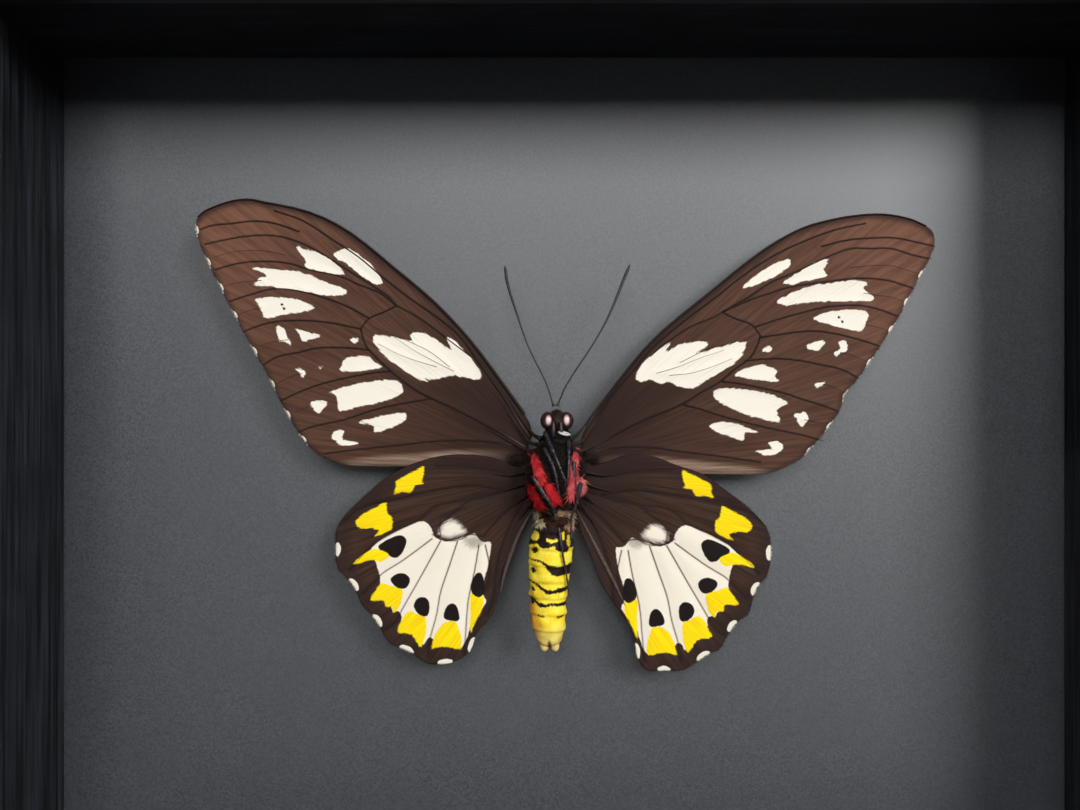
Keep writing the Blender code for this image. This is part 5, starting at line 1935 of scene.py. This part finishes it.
@dataclass
class Head:
    """The head with its eyes, palps and coiled proboscis."""

    hair_count: int = 900
    seed: int = 8
    neck_radii: tuple[float, float, float] = (3.3 * MM, 3.0 * MM, 3.4 * MM)
    neck_depth: float = 3.2 * MM
    eye_radii: tuple[float, float, float] = (1.75 * MM, 1.9 * MM, 2.1 * MM)
    eye_inset: float = 0.5 * MM
    # Middles and reach of the painted highlights, pale pink patches that stand in for the lamps'
    # reflection on the eyes.
    painted_highlight: dict[str, tuple[float, float]] = field(default_factory=lambda: {
        "left": (0.15, 0.1), "right": (0.1, 0.2)})
    painted_highlight_reach: tuple[float, float] = (0.85, 1.45)

    def skull(self) -> None:
        """Shape the head between the eyes and cover it with short hairs."""
        low, high = (np.array(corner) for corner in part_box("head"))
        middle, radii = (low + high) / 2.0, (high - low) / 2.0
        wide = radii + np.array([0.9 * MM, -0.1 * MM, -0.2 * MM])
        bm = ball(middle, wide, 0.12 * MM, 1.6 * MM, self.seed)
        skin = Cuticle("skull_cuticle", tone(26, 14, 12), tone(58, 34, 28), 0.55, 0.2).material()
        placed("head_shell", bm, [skin], ("head",))
        random = np.random.default_rng(self.seed)
        heading = unit(random.normal(size=(self.hair_count, 3)))
        roots = middle + heading * wide * 0.97
        run = heading + random.normal(0.0, 0.35, heading.shape) + np.array([0.0, 0.0, -0.3])
        tips = roots + run * (random.uniform(0.35, 0.9, self.hair_count) * MM)[:, None]
        tuft = Tuft(roots, tips, np.full(self.hair_count, 0.035 * MM), run * 0.0,
                    random.uniform(0.0, 1.0, self.hair_count) ** 2)
        hairs = HairColours("head_hairs", tone(26, 19, 19), tone(104, 84, 72))
        grow("head_hair", tuft, hairs)

    def neck(self) -> None:
        """Fill the gap between the head and the thorax with a narrow neck."""
        head_low, head_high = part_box("head")
        thorax_low, thorax_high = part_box("thorax")
        middle = Vector(((head_low.x + head_high.x) / 2.0, self.neck_depth,
                         (head_low.z + thorax_high.z) / 2.0 - 0.4 * MM))
        bm = ball(middle, self.neck_radii, 0.2 * MM, 1.8 * MM, self.seed + 1)
        skin = Cuticle("neck_cuticle", tone(9, 7, 7), tone(22, 16, 15), 0.6, 0.15).material()
        placed("neck", bm, [skin])

    def eye(self, label: str, shell: Material) -> None:
        """Shape one eye and store how far its surface lies from its painted highlight.

        Args:
            label: Side of the head that the eye is on.
            shell: Its finish.
        """
        low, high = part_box(f"eye_{label}")
        middle = (low + high) / 2.0
        middle.x += self.eye_inset if label == "left" else -self.eye_inset
        bm = bmesh.new()
        bmesh.ops.create_icosphere(bm, subdivisions=5, radius=1.0)
        bmesh.ops.scale(bm, vec=self.eye_radii, verts=bm.verts)
        bmesh.ops.translate(bm, vec=middle, verts=bm.verts)
        for face in bm.faces:
            face.smooth = True
        eye = placed(f"eye_{label}_faceted", bm, [shell], (f"eye_{label}",))
        places = (vertices_of(eye.data) - np.array(middle)) / MM
        across = (places[:, 0] - self.painted_highlight[label][0]) / self.painted_highlight_reach[0]
        up = (places[:, 2] - self.painted_highlight[label][1]) / self.painted_highlight_reach[1]
        hidden = np.where(places[:, 1] > 0.0, 2.0, 0.0)
        write_field(eye.data, "painted_highlight", np.hypot(across, up) + hidden)

    def palps(self) -> None:
        """Shape the two palps."""
        skin = Cuticle("palp_cuticle", tone(22, 18, 18), tone(66, 56, 54), 0.4).material()
        for label in ("left", "right"):
            line = centre_line(f"palp_{label}", 9)
            share = shares(line)
            bm = bmesh.new()
            sweep(bm, line, (0.25 + 0.22 * np.sin(math.pi * (1.0 - share) ** 0.8)) * MM, 12)
            placed(f"palp_{label}_segmented", bm, [skin], (f"palp_{label}",))

    def proboscis(self) -> None:
        """Coil the proboscis, which lies on its side under the right palp, coloured near white as painted
        highlight.
        """
        low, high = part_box("proboscis")
        middle = (low + high) / 2.0 + Vector((1.5 * MM, 0.1 * MM, 0.05 * MM))
        turn = np.linspace(0.0, 2.6 * 2.0 * math.pi, 90)
        radius = (1.2 - 0.3 * turn / (2.0 * math.pi)) * MM
        across, over = radius * np.cos(turn), radius * np.sin(turn)
        coil = np.column_stack([middle.x + across, middle.y + 0.75 * over,
                                middle.z - 0.25 * across + 0.2 * over])
        bm = bmesh.new()
        sweep(bm, coil, np.linspace(0.3, 0.16, len(coil)) * MM, 8)
        # Near-white colour: painted highlight along the coil.
        skin = Cuticle("proboscis_painted_highlight", tone(186, 180, 180), tone(240, 236, 234), 0.25)
        placed("proboscis_coil", bm, [skin.material()], ("proboscis",))

    def build(self) -> None:
        """Build the head and all that it carries."""
        shell = EyeShell().material()
        self.skull()
        self.neck()
        self.eye("left", shell)
        self.eye("right", shell)
        self.palps()
        self.proboscis()


@dataclass
class Antenna:
    """A ringed thread that thickens to a club."""

    label: str
    shaft: float = 0.19 * MM
    club: float = 0.36 * MM

    def build(self) -> bpy.types.Object:
        """Build the antenna.

        Returns:
            The antenna.
        """
        line = centre_line(f"antenna_{self.label}", 16)[::-1]
        path = flowing(line, 10)
        share = shares(path)
        thick = self.shaft + (self.club - self.shaft) * np.clip((share - 0.5) / 0.4, 0.0, 1.0)
        tip = np.sqrt(np.clip((1.0 - share) / 0.04, 0.03, 1.0))
        base = 1.0 + 1.1 * np.exp(-((share / 0.02) ** 2))
        rings = 1.0 + 0.1 * np.sin(share * 2.0 * math.pi * 38.0)
        bm = bmesh.new()
        sweep(bm, path, thick * tip * base * rings, 10)
        skin = Cuticle(f"antenna_{self.label}_cuticle", tone(18, 16, 17), tone(48, 44, 46), 0.35)
        return placed(f"antenna_{self.label}_ringed", bm, [skin.material()],
                      (f"antenna_{self.label}",))


@dataclass
class Leg:
    """A folded, jointed leg with spines and a pair of claws.

    Attributes:
        knees: Shares of the leg's length at which it is jointed.
        thick: Radius at the hip.
        spines: Number of spines down each side.
    """

    label: str
    knees: tuple[float, ...] = (0.3, 0.58, 0.76, 0.88)
    thick: float = 0.58 * MM
    spines: int = 12
    seed: int = 3

    def build(self) -> bpy.types.Object:
        """Build the leg.

        Returns:
            The leg.
        """
        line = flowing(centre_line(f"leg_{self.label}", 12), 5)
        share = shares(line)
        radii = self.thick * (1.0 - 0.8 * share ** 0.8)
        for knee in self.knees:
            radii = radii * (1.0 + 0.28 * np.exp(-(((share - knee) / 0.02) ** 2))
                             - 0.3 * np.exp(-(((share - knee - 0.035) / 0.012) ** 2)))
        ends = np.minimum(share, 1.0 - share) / 0.03
        radii = radii * np.sqrt(np.clip(ends, 0.15, 1.0))
        bm = bmesh.new()
        sweep(bm, line, radii, 10)
        random = np.random.default_rng(self.seed)
        for number in range(self.spines):
            spot = int(len(line) * (0.34 + 0.6 * number / self.spines))
            for side in (-1.0, 1.0):
                root = line[spot]
                tip = root + np.array([side * 0.55, -0.25, -0.55]) * MM * random.uniform(0.7, 1.2)
                sweep(bm, np.array([root, (root + tip) / 2.0, tip]),
                      np.array([0.07, 0.045, 0.01]) * MM, 5)
        for side in (-1.0, 1.0):
            foot = line[-1]
            hook = np.array([foot, foot + np.array([side * 0.25, -0.1, -0.3]) * MM,
                             foot + np.array([side * 0.35, 0.0, -0.7]) * MM])
            sweep(bm, hook, np.array([0.1, 0.07, 0.015]) * MM, 6)
        skin = Cuticle(f"leg_{self.label}_cuticle", tone(20, 18, 22), tone(70, 66, 76), 0.28)
        return placed(f"leg_{self.label}_jointed", bm, [skin.material()],
                      (f"leg_{self.label}",))


# The studio ---------------------------------------------------------------------------------

@dataclass
class Studio:
    """A plain pale floor, soft light and the camera.

    Attributes:
        key_slope: Way to the lamp from the card, as (across, up) for a step of one forwards.
        fills: For each fill lamp, its place, the length of its side and its power.
    """

    eye: tuple[float, float, float] = (-6.0 * MM, -209.0 * MM, 123.1 * MM)
    lens: float = 30.49
    key_slope: tuple[float, float] = (0.68, 0.44)
    key_distance: float = 2.0
    key_size: float = 0.95
    key_power: float = 50.0
    top_slope: tuple[float, float] = (-0.1, 0.44)
    top_size: float = 0.9
    top_power: float = 24.0
    fills: dict[str, tuple[tuple[float, float, float], float, float]] = field(
        default_factory=lambda: {"left_fill": ((-1.4, -0.9, 0.9), 0.9, 0.6),
                                 "rear_fill": ((0.7, 1.5, 1.1), 1.0, 12.0)})
    floor_size: float = 8.0
    daylight: float = 0.04
    air: Colour = (0.86, 0.9, 1.0, 1.0)

    def lamp(self, name: str, place: Vector, aim: Vector, size: float, power: float) -> None:
        """Hang one soft square lamp that leaves no bright patch on the glass.

        Args:
            name: Name of the lamp.
            place: Where it hangs.
            aim: Point that it faces.
            size: Length of its side in metres.
            power: Its power in watts.
        """
        light = bpy.data.lights.new(name, "AREA")
        light.size = size
        light.energy = power
        lamp = bpy.data.objects.new(name, light)
        lamp.location = place
        lamp.rotation_euler = (aim - place).to_track_quat("-Z", "Y").to_euler()
        lamp.visible_camera = False
        bpy.context.scene.collection.objects.link(lamp)
        unlit = bpy.data.collections.new(name + "_leaves_out")
        unlit.objects.link(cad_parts["glass"])
        lamp.light_linking.receiver_collection = unlit
        unlit.collection_objects[0].light_linking.link_state = "EXCLUDE"

    def lay_floor(self) -> None:
        """Lay the paper that the box stands on."""
        bm = bmesh.new()
        bmesh.ops.create_grid(bm, x_segments=1, y_segments=1, size=self.floor_size / 2.0)
        mesh = bpy.data.meshes.new("studio_floor")
        bm.to_mesh(mesh)
        bm.free()
        mesh.materials.append(StudioFloor().material())
        floor = bpy.data.objects.new("studio_floor", mesh)
        bpy.context.scene.collection.objects.link(floor)
        floor.visible_diffuse = False
        floor.visible_glossy = False

    def hang_lamps(self) -> None:
        """Hang the lamps round the box, facing the card, and set the light of the air."""
        card_low, card_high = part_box("mount_card")
        aim = Vector((0.0, card_low.y, (card_low.z + card_high.z) / 2.0))
        for name, slope, size, power in (
            ("key_lamp", self.key_slope, self.key_size, self.key_power),
            ("top_lamp", self.top_slope, self.top_size, self.top_power),
        ):
            reach = Vector((slope[0], -1.0, slope[1])) * self.key_distance
            self.lamp(name, aim + reach, aim, size, power)
        for name, (place, size, power) in self.fills.items():
            self.lamp(name, Vector(place), aim, size, power)
        world = bpy.data.worlds.new("studio_air")
        world.use_nodes = True
        background = world.node_tree.nodes["Background"]
        background.inputs["Color"].default_value = self.air
        background.inputs["Strength"].default_value = self.daylight
        bpy.context.scene.world = world

    def place_camera(self) -> None:
        """Stand the camera before the glass."""
        bpy.context.scene.view_settings.view_transform = "Standard"
        camera = bpy.data.cameras.new("camera")
        camera.sensor_width = 36.0
        camera.lens = self.lens
        camera.clip_start = 0.01
        viewer = bpy.data.objects.new("camera", camera)
        viewer.location = self.eye
        viewer.rotation_euler = (math.radians(90.0), 0.0, 0.0)
        bpy.context.scene.collection.objects.link(viewer)
        bpy.context.scene.camera = viewer

    def build(self) -> None:
        """Lay the floor, hang the lamps and place the camera."""
        self.lay_floor()
        self.hang_lamps()
        self.place_camera()


def main() -> None:
    """Build the specimen from the box inwards."""
    logging.basicConfig(level=logging.INFO, format="%(name)s: %(message)s")
    Studio().build()
    ShadowBox().build()
    Wings().build()
    Thorax().build()
    Abdomen().build()
    Head().build()
    for label in ("left", "right"):
        Antenna(label).build()
    for number, label in enumerate(("fore_left", "fore_right", "mid_left", "mid_right",
                                    "hind_left", "hind_right")):
        Leg(label, seed=60 + number).build()


if __name__ == "__main__":
    main()
